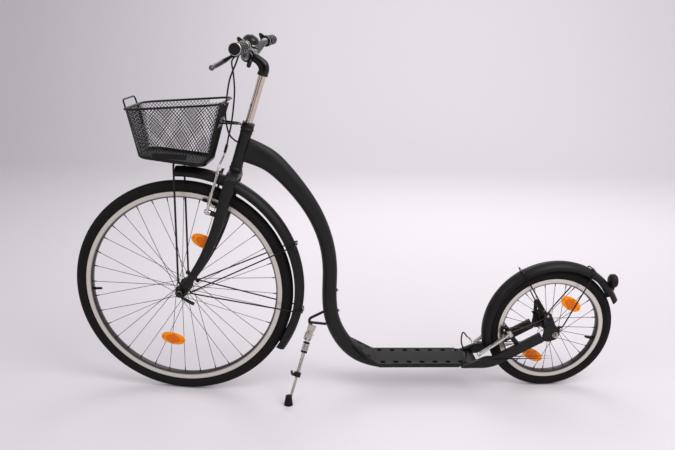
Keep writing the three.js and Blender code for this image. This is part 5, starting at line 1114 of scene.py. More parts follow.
def bell():
    """A dome over its base on a post from the bar's band, and the ring with the thumb's tab."""
    def dome_line(radius, rise, degrees):
        return [(radius * math.cos(a), 42 + rise * math.sin(a)) for a in map(math.radians, degrees)]
    outer, inner = dome_line(24, 21, range(9, 91, 9)), dome_line(22.4, 19.4, range(90, -1, -10))
    dome = turned([(24.6, 41)] + outer + inner, upright=True)
    base = turned([(0, 36), (15, 36), (19.5, 38), (20, 42.4), (18, 44), (0, 45.4)], upright=True)
    post = rod((0, 0, 12), (0, 0, 61), 6)
    cap = turned([(0, 60), (4.6, 62), (4, 63.4), (0, 64.2)], 32, upright=True)
    band = turned([(11.4, -8), (15.2, -8), (16, -7.2), (16, 7.2), (15.2, 8), (11.4, 8)], 48)
    foot = block((-8, 8), (-7, 7), (13, 25), bevel=2)
    settle(joined(dome, base, post, cap, band, foot), 'bell_dome', BELL, 'steering', 'gloss black', ['bell'])
    ring = turned([(6.4, 27.2), (8.6, 27.2), (9, 27.8), (9, 31.4), (8.6, 32), (6.4, 32)], 40, upright=True)
    tongue = [(7.5, -3.4), (20, -4.4), (25, -3.6), (26, 0), (25, 3.6), (20, 4.4), (7.5, 3.4)]
    tab = plate(tongue, 4.4, 29.6, 'flat', bevel=1.2, round_steps=2)
    settle(joined(ring, tab), 'bell_lever', BELL, 'bell_thumb', 'black plastic', ['bell_thumb'])


# Brakes

REAR_BRAKE_IN = SCOOTER.inverted() @ REAR_BRAKE

# Each guide pipe: how far its end stands from the middle, how high it rises, and which way is up.
FRONT_GUIDE = (15, 64, Vector((0, 0, 1)))
REAR_GUIDE = (28, 46, Vector((-1, 0, 0)))


def brake_arm(name, side, brake, body):
    """One arm with its sleeve, its slots and its return wire."""
    def on_arm(share):
        return side * (44.5 - 5.5 * max(0, 2 * share - 1)), ARM_TOP * share
    line = rounded([(side * y, z) for y, z in ((STUD_OUT, 0), (44.5, 30.5), (44.5, 61), (39, ARM_TOP))], 14)
    slots = [strip([on_arm(low), on_arm(high)], 4) for low, high in ((.36, .5), (.58, .8))]
    blade = plate(strip(line, 13), 7, ARM_PLANE, 'cross', holes=slots, bevel=1.2, round_steps=2)
    foot = plate(disc(side * STUD_OUT, 0, 9.4), 7, ARM_PLANE, 'cross', bevel=1.2, round_steps=2)
    sleeve = rod((-31.3, side * STUD_OUT, 0), (-46.3, side * STUD_OUT, 0), 9, bevel=1)
    head = rod((ARM_PLANE, side * 32.5, ARM_TOP), (ARM_PLANE, side * 45.5, ARM_TOP), 5, bevel=1)
    tension = rod((-39, side * 47, 12), (-39, side * 52, 12), 2.2, bevel=0.6, steps=12)
    parts = joined(blade, foot, sleeve, head, tension)
    settle(parts, name + '_link', brake, body, 'brake alloy', [name], degrees=30)
    spring = [(-44.5, side * 44, 20), (-48.2, side * 45, 24), (-48.2, side * 46, 60), (-47, side * 41, 64)]
    settle(wire(spring, 0.9, bend=2.5), name + '_return_wire', brake, body, 'steel')


def noodle(name, guide, brake, body):
    """The bent pipe that leads the cable into an arm's top."""
    spread, rise, up = guide
    widest = 59
    foot = Vector((ARM_PLANE, 0, ARM_TOP))
    points = [foot - Vector((0, 42.25, 0))]
    for out, high in ((1, .16), (.84, .44), (.34, .7), (0, .88), (0, 1)):
        points.append(foot + up * (rise * high) - Vector((0, spread + (widest - spread) * out, 0)))
    settle(wire(smooth(points, 48), 2.8), name + '_noodle', brake, body, 'steel')


def brake_pad(name, side, brake, centre, seat, body):
    """A grooved pad in its holder, bent along the rim, and the stud that fixes it to the arm."""
    track = seat - 9.5
    middle, half = math.acos((ARM_PLANE - centre.x) / track), 27 / track
    angles = [middle + half * i / 8 for i in range(-8, 9)]
    line = [(centre.x + track * math.cos(a), centre.z + track * math.sin(a)) for a in angles]
    height = line[8][1]
    shoe = plate(strip(line, 7.6), 6.6, side * 17.7, bevel=0.9, round_steps=2)
    holder = plate(strip(line[1:-1], 7.8), 4, side * 22.2, bevel=1.2, round_steps=2)
    grooves = [plate(strip(line[i:i + 2], 12), 1.6, side * 14.2, bevel=0.1) for i in (3, 12)]
    parts = joined(cut(shoe, *grooves), holder)
    settle(parts, name + '_block', brake, body, 'pad rubber', [name], degrees=30)
    reach = STUD_OUT + 2.5 * min(1, (height - 3.5) / 30.5) - 6.5

    def along_stud(start, end, radius, steps):
        return rod((ARM_PLANE, side * start, height), (ARM_PLANE, side * end, height), radius, steps=steps)
    parts = joined(along_stud(22, reach - 0.6, 3.5, 24), along_stud(reach - 5, reach - 2.6, 6.2, 32))
    settle(parts, name + '_stud', brake, body, 'steel')


def brake_wire(end, brake):
    """The wire between the arms' tops, with the rubber boot that covers it."""
    reach, pitch = 32.2, 4.6
    profile = [(0, -reach)]
    for i in range(9):
        y, taper = i * pitch - reach, i / 12
        profile += [(2.4 + 2 * (0.9 - taper), y), (1.9 + 2 * (0.8 - taper), y + pitch / 2)]
    boot = turned(profile + [(0, 9.2)], 32)
    line = rod((0, -20, 0), (0, reach, 0), 0.9, bevel=0.2, steps=12)
    place = brake @ move(ARM_PLANE, 0, ARM_TOP)
    pull = settle(joined(boot, line), end + '_pull_wire', place, None, 'inner rubber', [end + '_brake_wire'])
    tie(pull, place, (0, -reach, 0), (0, reach, 0))


# Fenders

def fender(name, place, centre, radius, from_degrees, to_degrees, skirt, body):
    """A domed sheet along an arc, drawn in a little at both ends."""
    count, lip = 28, 0.12

    def dome(width, depth, top):
        outs = [0.995 * math.sin(math.pi / 2 * (2 * i / count - 1)) for i in range(count + 1)]
        return [(top - depth * (1 - math.sqrt(1 - out * out)), out * width) for out in outs]
    ring = dome(28, skirt, 0) + dome(26.3, skirt - 1.6, -1.6)[::-1]
    steps = round(abs(to_degrees - from_degrees) / 2)
    rows = []
    for i in range(-1, steps + 2):
        at_end = i in (-1, steps + 1)
        along = min(max(i, 0), steps) if at_end else min(max(i, lip), steps - lip)
        degrees = from_degrees + (to_degrees - from_degrees) * along / steps
        heights = [depth / 2 - 0.4 if at_end and depth > -3 else depth for depth, _ in ring]
        rows.append([point_on(centre, radius + height, degrees, y) for height, (_, y) in zip(heights, ring)])
    settle(skinned(rows), name + '_shell', place, body, 'fender plastic', [name], degrees=50)


def fender_stay(name, eye, seat, place, centre, radius, angles, body):
    """Bent wires that run over a fender from an eye on one side to the other, with their bolts."""
    thick, beside = sizes('frame').stay / 2 / MM, 30.3
    parts, bolts = [], []
    for degrees in angles:
        toward = (point_on(centre, radius, degrees) - Vector((eye[0], 0, eye[1]))).normalized() * 20
        legs = []
        for side in (-1, 1):
            foot = Vector((eye[0], side * (seat + 2), eye[1]))
            edge, top = (point_on(centre, radius + up, degrees, side * beside) for up in (-19, 2.3))
            legs.append([foot, foot + toward, edge, top])
        parts.append(wire(legs[0] + legs[1][::-1], thick, bend=8))
        bolts.append(bolt(point_on(centre, radius + 4, degrees), point_on(centre, radius + 7, degrees), 4.4))
        clip = plate(softly([(-5.5, -7), (5.5, -7), (5.5, 7), (-5.5, 7)], 2.5), 2.2, 0, 'flat', bevel=0.6)
        on_top = Matrix.Translation(point_on(centre, radius + 3.4, degrees)) @ turn(90 - degrees, 'Y')
        parts.append(shift(clip, on_top))

    def at_eye(out):
        return eye[0], out, eye[1]
    for side in (-1, 1):
        parts.append(rod(at_eye(side * seat), at_eye(side * (seat + 2.6)), 5, bevel=0.6))
        bolts.append(bolt(at_eye(side * (seat + 2.4)), at_eye(side * (seat + 6)), 4.6))
    settle(joined(*parts), name + '_wires', place, body, 'cable casing', [name])
    settle(joined(*bolts), name + '_bolts', place, body, 'steel', degrees=30)


# Basket

BASKET_SLOPE = math.tan(math.radians(6.2))


def basket_point(turn_share, height, inset=0.0):
    """A point of the basket's wall, by the share of the way round from its back's middle and the height."""
    size = sizes('basket')
    share = -height * MM / size.deep
    half_long = (size.long / MM - 78 * share) / 2 - inset
    half_wide = (size.wide / MM - 36 * share) / 2 - inset
    corner, shift_x = 34 - inset, -6.5 - 8 * share
    straight = [2 * (half_wide - corner), 2 * (half_long - corner)] * 2
    arc = corner * math.pi / 2
    left = (turn_share % 1) * (sum(straight) + 4 * arc) + straight[0] / 2
    for quarter in range(5):
        run = straight[quarter % 4]
        along_x, along_y = ((1, 1), (-1, 1), (-1, -1), (1, -1))[quarter % 4]
        core = Vector((along_x * (half_long - corner), along_y * (half_wide - corner)))
        facing = Matrix.Rotation(math.pi / 2 * quarter, 2)
        if left <= run:
            spot = core + facing @ Vector((corner, left - run))
            break
        left -= run
        if left <= arc:
            spot = core + Matrix.Rotation(left / corner, 2) @ (facing @ Vector((corner, 0)))
            break
        left -= arc
    x, y = spot.x + shift_x, spot.y
    drop = 0.09 * (x + 116) * max(0, (share - 0.375) / 0.625)
    return Vector((x, y, height - drop + BASKET_SLOPE * x * (1 - share)))


def basket_ring(height, inset=0.0, count=96):
    return [basket_point(i / count, height, inset) for i in range(count)]


def basket_net():
    """The wall as a grid, each mesh poked to a middle point and its own sides dissolved, drawn as strands."""
    deep, meshes, rows = sizes('basket').deep / MM, sizes('basket').meshes, 13
    clear()
    bpy.ops.mesh.primitive_grid_add(x_subdivisions=meshes, y_subdivisions=rows)
    net = bpy.context.object
    for i, vertex in enumerate(net.data.vertices):
        row, column = divmod(i, meshes + 1)
        vertex.co = basket_point(column / meshes, -4 - (deep - 12) * row / rows, 1.2)
    edit(net)
    bpy.ops.mesh.remove_doubles(threshold=0.01)
    bpy.ops.mesh.poke()
    clear()
    knots = meshes * (rows + 1)
    for edge in net.data.edges:
        edge.select = all(v < knots for v in edge.vertices)
    for thing in (*net.data.vertices, *net.data.polygons):
        thing.select = False
    bpy.ops.object.mode_set(mode='EDIT')
    bpy.ops.mesh.select_mode(type='EDGE')
    bpy.ops.mesh.dissolve_edges(use_verts=False)
    clear()
    modifier = net.modifiers.new('strands', 'WIREFRAME')
    modifier.thickness = sizes('basket').strand / MM
    modifier.use_even_offset = False
    modifier.use_boundary = True
    choose(net)
    bpy.ops.object.modifier_apply(modifier=modifier.name)
    return net


def basket():
    """The rim, the tray with its bare plaque, the net between them, and the loop at the front."""
    deep = sizes('basket').deep / MM
    rim = wire(basket_ring(-3, -1.4), 3.3, looped=True)
    tray_line = ((2.6, 30), (2.4, 8), (5, 2.6), (9.4, 2.2), (10, 1.2), (9.6, 0.3), (8.6, 0), (4, 0), (0.6, 2),
                 (0, 8), (0, 30))
    tray = skinned([basket_ring(up - deep, inset) for up, inset in tray_line])
    plaque = plate(softly([(-50, -8), (50, -8), (50, 8), (-50, 8)], 3), 1.6, 0, bevel=0.5)
    shift(plaque, Matrix.Translation(basket_point(0.75, 19 - deep, -0.6)) @ turn(6, 'X'))
    parts = joined(rim, tray, plaque)
    settle(parts, 'basket_rim_tray', BASKET, 'steering', 'basket coat', ['basket'], degrees=45)
    settle(basket_net(), 'basket_net', BASKET, 'steering', 'basket coat', ['basket'])
    side = []
    for height, out, lift in ((-74, 1.3, 0), (-6, 4.3, 0), (0, 12, 21)):
        x = basket_point(0.5, height).x
        side.append((x - out, height + lift + BASKET_SLOPE * x * (1 + height / deep)))
    half = 52
    loop = wire([(x, -half, z) for x, z in side] + [(x, half, z) for x, z in side[::-1]], 2.6, bend=12)
    settle(loop, 'basket_front_loop', BASKET, 'steering', 'basket coat', ['basket'])


def basket_support():
    """The bent rod that carries the basket from the fork's tips, and the bracket behind it at the headset."""
    def at_eye(out):
        return Vector((BASKET_EYE[0], out, BASKET_EYE[1]))
    into, thick, level = STEERING.inverted() @ BASKET, 3.2, 556.7
    top = into @ Vector((-10, 0, -173))
    feet = [at_eye(side * (FRONT_SIDE + thick)) for side in (-1, 1)]
    corners = [Vector((top.x, foot.y, top.z)) for foot in feet]
    stay = wire([feet[0], *corners, feet[1]], thick, bend=14)
    washers = [rod(at_eye(side * FRONT_SIDE), at_eye(side * 62.6), 5.6, bevel=0.8) for side in (-1, 1)]
    settle(joined(stay, *washers), 'basket_stay_rod', STEERING, 'steering', 'frame paint', ['basket_stay'])
    bolts = [bolt(at_eye(side * 62.4), at_eye(side * 66), 4.8) for side in (-1, 1)]
    settle(joined(*bolts), 'basket_stay_bolts', STEERING, 'steering', 'steel', degrees=30)
    collar = plate(disc(0, 0, 19, 48), 3, level, 'flat', holes=[disc(0, 0, 12.9, 48)], bevel=0.6)
    tongue = softly([(-31, -12.5), (-14, -12.5), (-14, 12.5), (-31, 12.5)], 3)
    slope = math.atan2(50.5, 160)
    seat = Vector((116.4 + 2.1 / math.cos(slope), 0, -51.9))
    rods = [rod((-28, side * 9.5, level), (into @ seat) + Vector((0, side * 24, 0)), 3) for side in (-1, 1)]
    board = plate(softly([(-35, -15), (35, -15), (35, 15), (-35, 15)], 4), 3, 0, 'cross', bevel=0.7)
    shift(board, into @ Matrix.Translation(seat) @ Matrix.Rotation(slope, 4, 'Y'))
    parts = joined(collar, plate(tongue, 3, level, 'flat', bevel=0.6), *rods, board)
    settle(parts, 'basket_bracket_rods', STEERING, 'steering', 'frame paint', ['basket_bracket'])


# Frame

def relaxed(line, rounds):
    """A line evened out, with its ends kept."""
    for _ in range(rounds):
        line = [line[0]] + [(a + 2 * b + c) / 4 for a, b, c in zip(line, line[1:], line[2:])] + [line[-1]]
    return line


def main_line():
    """The main tube's middle line with its half depths and half widths."""
    start, rear, level = (SCOOTER.inverted() @ HEAD) @ Vector((14, 0, 486.6)), 930, 92.5
    shares = [(0, 1), (.024, .991), (.092, .96), (.153, .905), (.224, .822), (.29, .724), (.343, .597),
              (.365, .471), (.366, .351), (.376, .249), (.4, .174), (.444, .099), (.505, .038)]
    depths = (1.62, 1.57, 1.45, 1.28, 1.15, 1.06, 1, 1, 1, 1.02, 1.04, 1.06, .98)
    widths = (.6, .75, .9, .98, 1, 1, 1, 1, 1, 1, 1, 1, 1.02)
    radius = sizes('frame').tube / 2 / MM
    line = [Vector((start.x + (rear - start.x) * a, 0, level + (start.z - level) * b)) for a, b in shares]
    line += [Vector((625, 0, 90.5)), Vector((677, 0, 90.5)), Vector((rear, 0, level))]
    depths = [d * radius for d in depths] + [16.5, 16.5, 14.5]
    widths = [w * radius for w in widths] + [26, 26, 26]
    return line, depths, widths


def main_tube():
    """The curved tube with the yoke at its end, and the two bottle bolts on its upright stretch."""
    line, depths, widths = main_line()
    steps = 90
    curve = relaxed(smooth(line, steps), 8)
    tube = oval(curve, eased(depths, steps), eased(widths, steps), sides=40, square=0.92)
    yoke = block((924, 969.3), (-43.7, 43.7), (84.7, 106.7), bevel=5, segments=3)
    upright = [p for p in curve if p.x < 600]
    bosses, bolts = [], []
    for drop in (455, 527):
        height = line[0].z - drop
        x = min(upright, key=lambda p: abs(p.z - height)).x
        bosses.append(rod((x, 0, height), (x + 26, 0, height), 5, bevel=0.8))
        bolts.append(bolt((x + 25.6, 0, height), (x + 29, 0, height), 4.4))
    parts = joined(tube, yoke, *bosses)
    settle(parts, 'main_tube_body', SCOOTER, 'frame', 'frame paint', ['main_tube'], degrees=50)
    settle(joined(*bolts), 'bottle_bolts', SCOOTER, 'frame', 'steel', degrees=30)


def footboard():
    """A sheet with round-ended slots along its edges, its flanges, and the ramp with skirts in front."""
    wide, thick = sizes('frame').deck_width / 2 / MM, sizes('frame').deck_thickness / MM
    front, back, top, pitch = 625, 906, 110, 263 / 6
    slots = [stadium(646 + i * pitch, side * 41, 18, 15) for side in (-1, 1) for i in range(7)]
    outline = [(front, -wide), (back, -wide), (930, -38), (930, 38), (back, wide), (front, wide)]
    deck = plate(softly(outline, 5), thick, top - thick / 2, 'flat', holes=slots, bevel=0.7, round_steps=2)
    edge = softly([(front, 109.4), (back, 109.4), (back, 104), (899, 98), (632, 98), (front, 104)], 3)
    flanges = []
    for side in (-1, 1):
        holes = [stadium(646 + i * pitch, 102.5, 18, 4) for i in range(4)] if side < 0 else []
        flanges.append(plate(edge, thick, side * (wide - thick / 2), holes=holes, bevel=0.7, round_steps=2))
    climb, run, tip = 98, 72, 12
    slope = math.hypot(climb, run)
    holes = [stadium(x, side * y, 18, 12) for side in (-1, 1) for x, y in ((-30, 32), (-64, 19))]
    tongue = softly([(-slope, -tip), (0, -wide), (0, wide), (-slope, tip)], 4)
    parts = [plate(tongue, thick, -thick / 2, 'flat', holes=holes, bevel=0.7, round_steps=2)]
    narrows, reach = math.atan2(wide - tip, slope), math.hypot(wide - tip, slope)
    for side in (-1, 1):
        skirt = plate([(-1, -1), (4 - reach, -1), (10 - reach, -7), (-5, -12)], thick, 0, bevel=0.6)
        parts.append(shift(skirt, move(0, side * (wide - 2), 0) @ Matrix.Rotation(side * narrows, 4, 'Z')))
    ramp = shift(joined(*parts), move(625.7, 0, top) @ Matrix.Rotation(math.atan2(run, climb), 4, 'Y'))
    settle(joined(deck, *flanges, ramp), 'footboard_sheet', SCOOTER, 'frame', 'deck coat', ['footboard'])


def rear_stays():
    """The bent beams beside the rear wheel with their dropouts, and the rear brake's two bolts."""
    axle_x, axle_z = 1213, 217.5
    shape = ((-.6, -.2), (-.3, -.24), (.1, -.15), (.22, .0), (.2, .16), (-.04, .3), (-.34, .7), (-.6, .7),
             (-.56, .12))
    dropout = softly([(axle_x + a * 70, axle_z + b * 110) for a, b in shape], 7)
    thick, out = 8, 54.3
    for name, side in SIDES:
        line = rounded(STAY_LINE, 30, 8)
        beam = plate([(930.6, 108), (976, 129)] + strip(line, 35)[1:], 16, side * 52, bevel=4, round_steps=3)
        nose = block((908, 936), (side * 52 - 8, side * 52 + 8), (94, 106.7), bevel=3)
        slot = stadium(1186, 262, 9, 24)
        sheet = plate(dropout, thick, side * out, holes=[slot], bevel=1.2, round_steps=2)
        eyes = [plate(disc(x, z, 8), thick, side * out, bevel=1.2) for x, z in REAR_EYES]
        parts = joined(beam, nose, sheet, *eyes, *brake_stud(-side, REAR_BRAKE_IN, 14.5))
        node = 'rear_stay_' + name
        settle(parts, 'rear_stay_beam_' + name, SCOOTER, 'frame', 'frame paint', [node], degrees=40)
    heads = joined(*[stud_bolt(side, REAR_BRAKE_IN) for side in (-1, 1)])
    settle(heads, 'rear_brake_bolts', SCOOTER, 'frame', 'steel', degrees=30)


def rear_light():
    height, backward = 388, turn(-90, 'Z')
    bowl = [(0, 0), (12, 0), (17, 1.5), (21.5, 5), (23, 8), (23, 19), (22, 20), (20.8, 20), (20.8, 18.4),
            (0, 18.4)]
    body = shift(turned(bowl), move(1396, 0, height) @ backward)
    neck = [(1396, 379.4), (1416, 354.4), (1416, height), (1396, height)]
    neck = plate(neck, 16, 0, bevel=1.5, round_steps=2)
    settle(joined(body, neck), 'rear_light_case', SCOOTER, 'frame', 'black plastic', ['rear_light'])
    lens = turned([(0, 0), (20.4, 0), (20.4, 2.4), (19.4, 3.6), (14, 4.6), (0, 5)])
    shift(lens, move(1416.3, 0, height) @ backward)
    settle(lens, 'rear_light_lens', SCOOTER, 'frame', 'red lens', ['rear_lens'], degrees=25)


# Stand

def stand_bracket():
    """The hinge's plate and pin, and the hoop that holds them to the main tube."""
    into = SCOOTER.inverted() @ STAND
    sheet = plate(softly([(-10, -6), (-6, -10), (6, -10), (10, -6), (14, 30), (-14, 30)], 3), 5, 0, bevel=0.8)
    pin = rod((0, -6.8, 0), (0, 6.8, 0), 4, bevel=0.5)
    heads = [rod((0, side * 6.8, 0), (0, side * 9.2, 0), 6.4, bevel=1, steps=6) for side in (-1, 1)]
    hinge = joined(sheet, pin, *heads)
    settle(hinge, 'stand_hinge_plate', STAND, 'frame', 'steel', ['stand_bracket'], degrees=30)
    hoop = wire([(455, -12, 282), (399, -24, 258), (399, -24, 245), (455, -12, 233)], 4.4, bend=9)
    arm = wire([(399, -24, 246), into @ Vector((0, 0, 26.5))], 4.2)
    settle(joined(hoop, arm), 'stand_hoop', SCOOTER, 'frame', 'frame paint', ['stand_bracket'])


def stand_leg():
    """The upper tube with its ears and collars, and the clamp with the wing that sets the length."""
    ear = softly([(-11, 0), (-8, 8), (0, 11), (8, 8), (11, 0), (11, -22), (-11, -22)], 3.5)
    ears = [plate(ear, 4, side * 4.8, bevel=0.8) for side in (-1, 1)]
    bridge = block((-11, 11), (-6.8, 6.8), (-22, -12), bevel=1.5)
    shaft = rod(LEG * 15, LEG * 142, 5.6, bevel=0.8)
    settle(joined(*ears, bridge, shaft), 'stand_leg_tube', STAND, 'stand', 'steel', ['stand_leg'], degrees=35)
    collars = [rod(LEG * a, LEG * (a + 7), 10.5, bevel=1.2, steps=40) for a in (26.7, 56.3)]
    clamp = rod(LEG * 126, LEG * 142, 11, bevel=1.4, steps=40)
    middle = LEG * 134
    screw = rod(middle, middle - Vector((14, 0, 0)), 3, bevel=0.4)
    bow = strip([(middle.y + y, middle.z + z) for y, z in ((-15, 1), (-6, -2), (6, -2), (15, 1))], 7.4)
    wing = plate(softly(bow, 2), 6, middle.x - 17, 'cross', bevel=1.6, round_steps=3)
    parts = joined(*collars, clamp, screw, wing)
    settle(parts, 'stand_leg_collars', STAND, 'stand', 'black plastic', degrees=35)


def stand_spring():
    """A spring of five turns round the leg, between its collars."""
    beside, turns, steps, radius = LEG.cross(Vector((1, 0, 0))), 5, 140, 10
    points = []
    for i in range(steps + 1):
        angle = TAU * turns * i / steps
        around_leg = Vector((math.cos(angle), 0, 0)) * radius + beside * (radius * math.sin(angle))
        points.append(LEG * (35.2 + 19.6 * i / steps) + around_leg)
    settle(wire(points, 1.2), 'stand_spring_coil', STAND, 'stand', 'steel', ['stand_spring'])


def stand_end():
    """The sliding bar and its ribbed rubber foot."""
    bar = rod(LEG * 102, LEG * 224.3, 4.4, bevel=0.6)
    settle(bar, 'stand_rod_bar', STAND, 'stand_tube', 'steel', ['stand_rod'])
    rib = ((13.1, 0), (12.2, 0.8), (12, 2), (12.6, 2.8))
    ribs = [(r - i, 7 + 7 * i + z) for i in range(3) for r, z in rib]
    sole, top = [(0, 0.6), (12, 0), (13.4, 0.4), (14, 1.6), (13.6, 4)], [(9.6, 30.4), (8.6, 32), (0, 32)]
    foot = turned(sole + ribs + top, 48, upright=True)
    settle(foot, 'stand_foot_rubber', FOOT, 'stand_tube', 'pad rubber', ['stand_foot'], degrees=30)


# Cables

def from_lever(side):
    """The first two points of a cable, straight out of a lever's adjuster."""
    return [lever_place(side) @ Vector((0, -side * out, ADJUSTER_UP)) for out in (24, 34.3)]


def guide_end(guide):
    """The end of a guide pipe, where its cable goes in."""
    spread, rise, up = guide
    return Vector((ARM_PLANE, -spread, ARM_TOP)) + up * rise


def cables():
    """The casings: lever to front brake, lever to the head tube's port, and main tube to rear brake."""
    thick, slack, into_pipe = sizes('bars').cable / 2 / MM, 26, 0.3
    rise = FRONT_GUIDE[2]
    top = BRAKE_UP @ guide_end(FRONT_GUIDE)
    ends = [top + rise * slack, top + rise * into_pipe]
    route = from_lever(1) + [(-92, 86, 742), (-104, 42, 722), (-84, 12, 688), (-67, 2, 646), (-55, 0, 589),
                             (-49, 0, 544), (-46, -5, 505)] + ends
    parts = joined(wire(smooth(route, 130), thick), rod(ends[1], ends[0], 4.2, bevel=0.8))
    front = settle(parts, 'front_cable_casing', STEERING, None, 'cable casing', ['front_cable'])
    tie(front, STEERING, top + rise * 150, ends[0])

    angle = math.radians(234.6)
    port = [Vector((out * math.cos(angle), out * math.sin(angle), 507)) for out in (27.2, 17.2)]
    blend_from = (-66, -68, 598)
    route = from_lever(-1) + [(-61, -128, 742), (-70, -106, 690), (-69, -86, 640), blend_from,
                              (-55, -44, 550), (-38, -30, 519)] + port
    upper = wire(smooth(route, 130), thick)
    settle(upper, 'rear_cable_upper', STEERING, None, 'cable casing', ['rear_cable_bar'])
    tie(upper, STEERING, blend_from, port[1])

    end, blend_from = guide_end(REAR_GUIDE), (937, 4, 118)
    tail = [REAR_BRAKE_IN @ (end - Vector((back, 0, 0))) for back in (13, into_pipe)]
    route = [(938, 4, 107), blend_from, (926, 4, 136), (918, 6, 156), (918, 12, 175), (923, 21, 185)] + tail
    lower = wire(smooth(route, 70), thick)
    settle(lower, 'rear_cable_lower', SCOOTER, None, 'cable casing', ['rear_cable_frame'])
    tie(lower, SCOOTER, blend_from, tail[0])


# Stage

CAMERA_AT = Vector((-0.3018, -2.2663, 1.1450))
CAMERA_YAW, CAMERA_PITCH, CAMERA_ROLL = 0.10222, 0.245543, -0.0401977
SENSOR_WIDTH = 36


def camera():
    """The photograph's own view."""
    level, drop = math.cos(CAMERA_PITCH), math.sin(CAMERA_PITCH)
    ahead = Vector((math.sin(CAMERA_YAW) * level, math.cos(CAMERA_YAW) * level, -drop))
    right = Vector((math.cos(CAMERA_YAW), -math.sin(CAMERA_YAW), 0))
    down = ahead.cross(right)
    across = right * math.cos(CAMERA_ROLL) + down * math.sin(CAMERA_ROLL)
    up = right * math.sin(CAMERA_ROLL) - down * math.cos(CAMERA_ROLL)
    data = bpy.data.cameras.new('photo_view')
    data.lens = sizes('stage').focal
    data.sensor_width = SENSOR_WIDTH
    obj = bpy.data.objects.new('photo_view', data)
    bpy.context.collection.objects.link(obj)
    obj.matrix_world = basis(across, up, -ahead, CAMERA_AT)
    bpy.context.scene.camera = obj
    return obj


def lamp(name, at, toward, size, power):
    """A soft square lamp."""
    data = bpy.data.lights.new(name, 'AREA')
    data.size, data.energy = size, power
    obj = bpy.data.objects.new(name, data)
    bpy.context.collection.objects.link(obj)
    obj.location = at
    obj.rotation_euler = (Vector(toward) - Vector(at)).to_track_quat('-Z', 'Y').to_euler()
    return obj


def dark_card(name, at, size):
    """A dark card that shows in gloss and chrome alone."""
    clear()
    bpy.ops.mesh.primitive_plane_add(size=1, location=at)
    card = bpy.context.object
    card.scale = (size[0], size[1], 1)
    card.rotation_euler = (Vector((0, 0, 0.6)) - Vector(at)).to_track_quat('Z', 'Y').to_euler()
    card.name = card.data.name = name
    card.data.materials.append(Finish(name, 'card', "0a0a0b", 1).material)
    card.visible_camera = card.visible_diffuse = card.visible_shadow = card.visible_transmission = False
    return card


def floor():
    """A floor that curves up behind into a backdrop, with painted shade that makes it a little darker at the
    left.
    """
    angles = [math.pi / 2 * i / 12 for i in range(13)]
    bend = [(4.2 + 2 * math.sin(a), 2 - 2 * math.cos(a)) for a in angles]
    profile = [(-7, 0), (-3, 0), (0, 0), (2, 0)] + bend + [(6.2, 6)]
    rows = [[Vector((x, y, z)) for x in (9, 3, 0, -3, -9)] for y, z in profile]
    sheet = skinned(rows, wrapped=False, fill=False)
    pale = Finish('floor', 'floor', sizes('stage').floor, 0.7)
    x, _, _ = pale.axes(pale.place())
    # Painted shade: the floor's colour falls to a darker tone toward the left, where the studio light falls
    # off.
    painted_light_share = pale.node('ShaderNodeMapRange', values={0: x, 1: -2.8, 2: -0.2})
    pale.feed('Base Color', pale.blend(painted_light_share, pale.toned(0.74), pale.colour))
    sheet.name = sheet.data.name = 'studio_floor'
    sheet.data.materials.append(pale.material)
    choose(sheet)
    bpy.ops.object.shade_smooth()
    clear()
    return sheet


def sky():
    """A pale backdrop to the eye, its mirror images and its glass, and a soft light to everything else."""
    world = bpy.data.worlds.new('studio')
    world.use_nodes = True
    bpy.context.scene.world = world
    nodes, links = world.node_tree.nodes, world.node_tree.links
    nodes.clear()
    path = nodes.new('ShaderNodeLightPath')
    seen_by = path.outputs['Is Camera Ray']
    for ray in ('Is Glossy Ray', 'Is Transmission Ray'):
        either = nodes.new('ShaderNodeMath')
        either.operation = 'MAXIMUM'
        links.new(seen_by, either.inputs[0])
        links.new(path.outputs[ray], either.inputs[1])
        seen_by = either.outputs[0]
    mixed, out = nodes.new('ShaderNodeMixShader'), nodes.new('ShaderNodeOutputWorld')
    links.new(seen_by, mixed.inputs['Fac'])
    for socket, colour, strength in ((1, (0.93, 0.94, 1, 1), 0.8), (2, (*sizes('stage').backdrop, 1), 1)):
        shown = nodes.new('ShaderNodeBackground')
        shown.inputs['Color'].default_value = colour
        shown.inputs['Strength'].default_value = strength
        links.new(shown.outputs[0], mixed.inputs[socket])
    links.new(mixed.outputs[0], out.inputs['Surface'])


# Operators

def built(*steps):
    """Runs the steps of an operator and reports that it finished."""
    for step in steps:
        step()
    return {'FINISHED'}


class AddWheels(bpy.types.Operator):
    """Model the wheels: tyres, rims, inner tubes, hubs, spokes and reflectors"""
    bl_idname = "kick_bike.wheels"
    bl_label = "Wheels"

    def execute(self, context):
        for end, wheel in WHEELS.items():
            for make in (tyre, rim, inner_tube, hub, spokes, reflectors):
                make(end, wheel)
        return {'FINISHED'}


class AddAxles(bpy.types.Operator):
    """Model the axles with their nuts and the quick release"""
    bl_idname = "kick_bike.axles"
    bl_label = "Axles"

    def execute(self, context):
        return built(lambda: axle('front'), lambda: axle('rear'), quick_release)


class AddSteering(bpy.types.Operator):
    """Model the fork, headset, stem and handlebar"""
    bl_idname = "kick_bike.steering"
    bl_label = "Steering"

    def execute(self, context):
        return built(fork, headset, stem, handlebar)


class AddControls(bpy.types.Operator):
    """Model the grips, brake levers and bell"""
    bl_idname = "kick_bike.controls"
    bl_label = "Grips, levers and bell"

    def execute(self, context):
        return built(grips, brake_levers, bell)


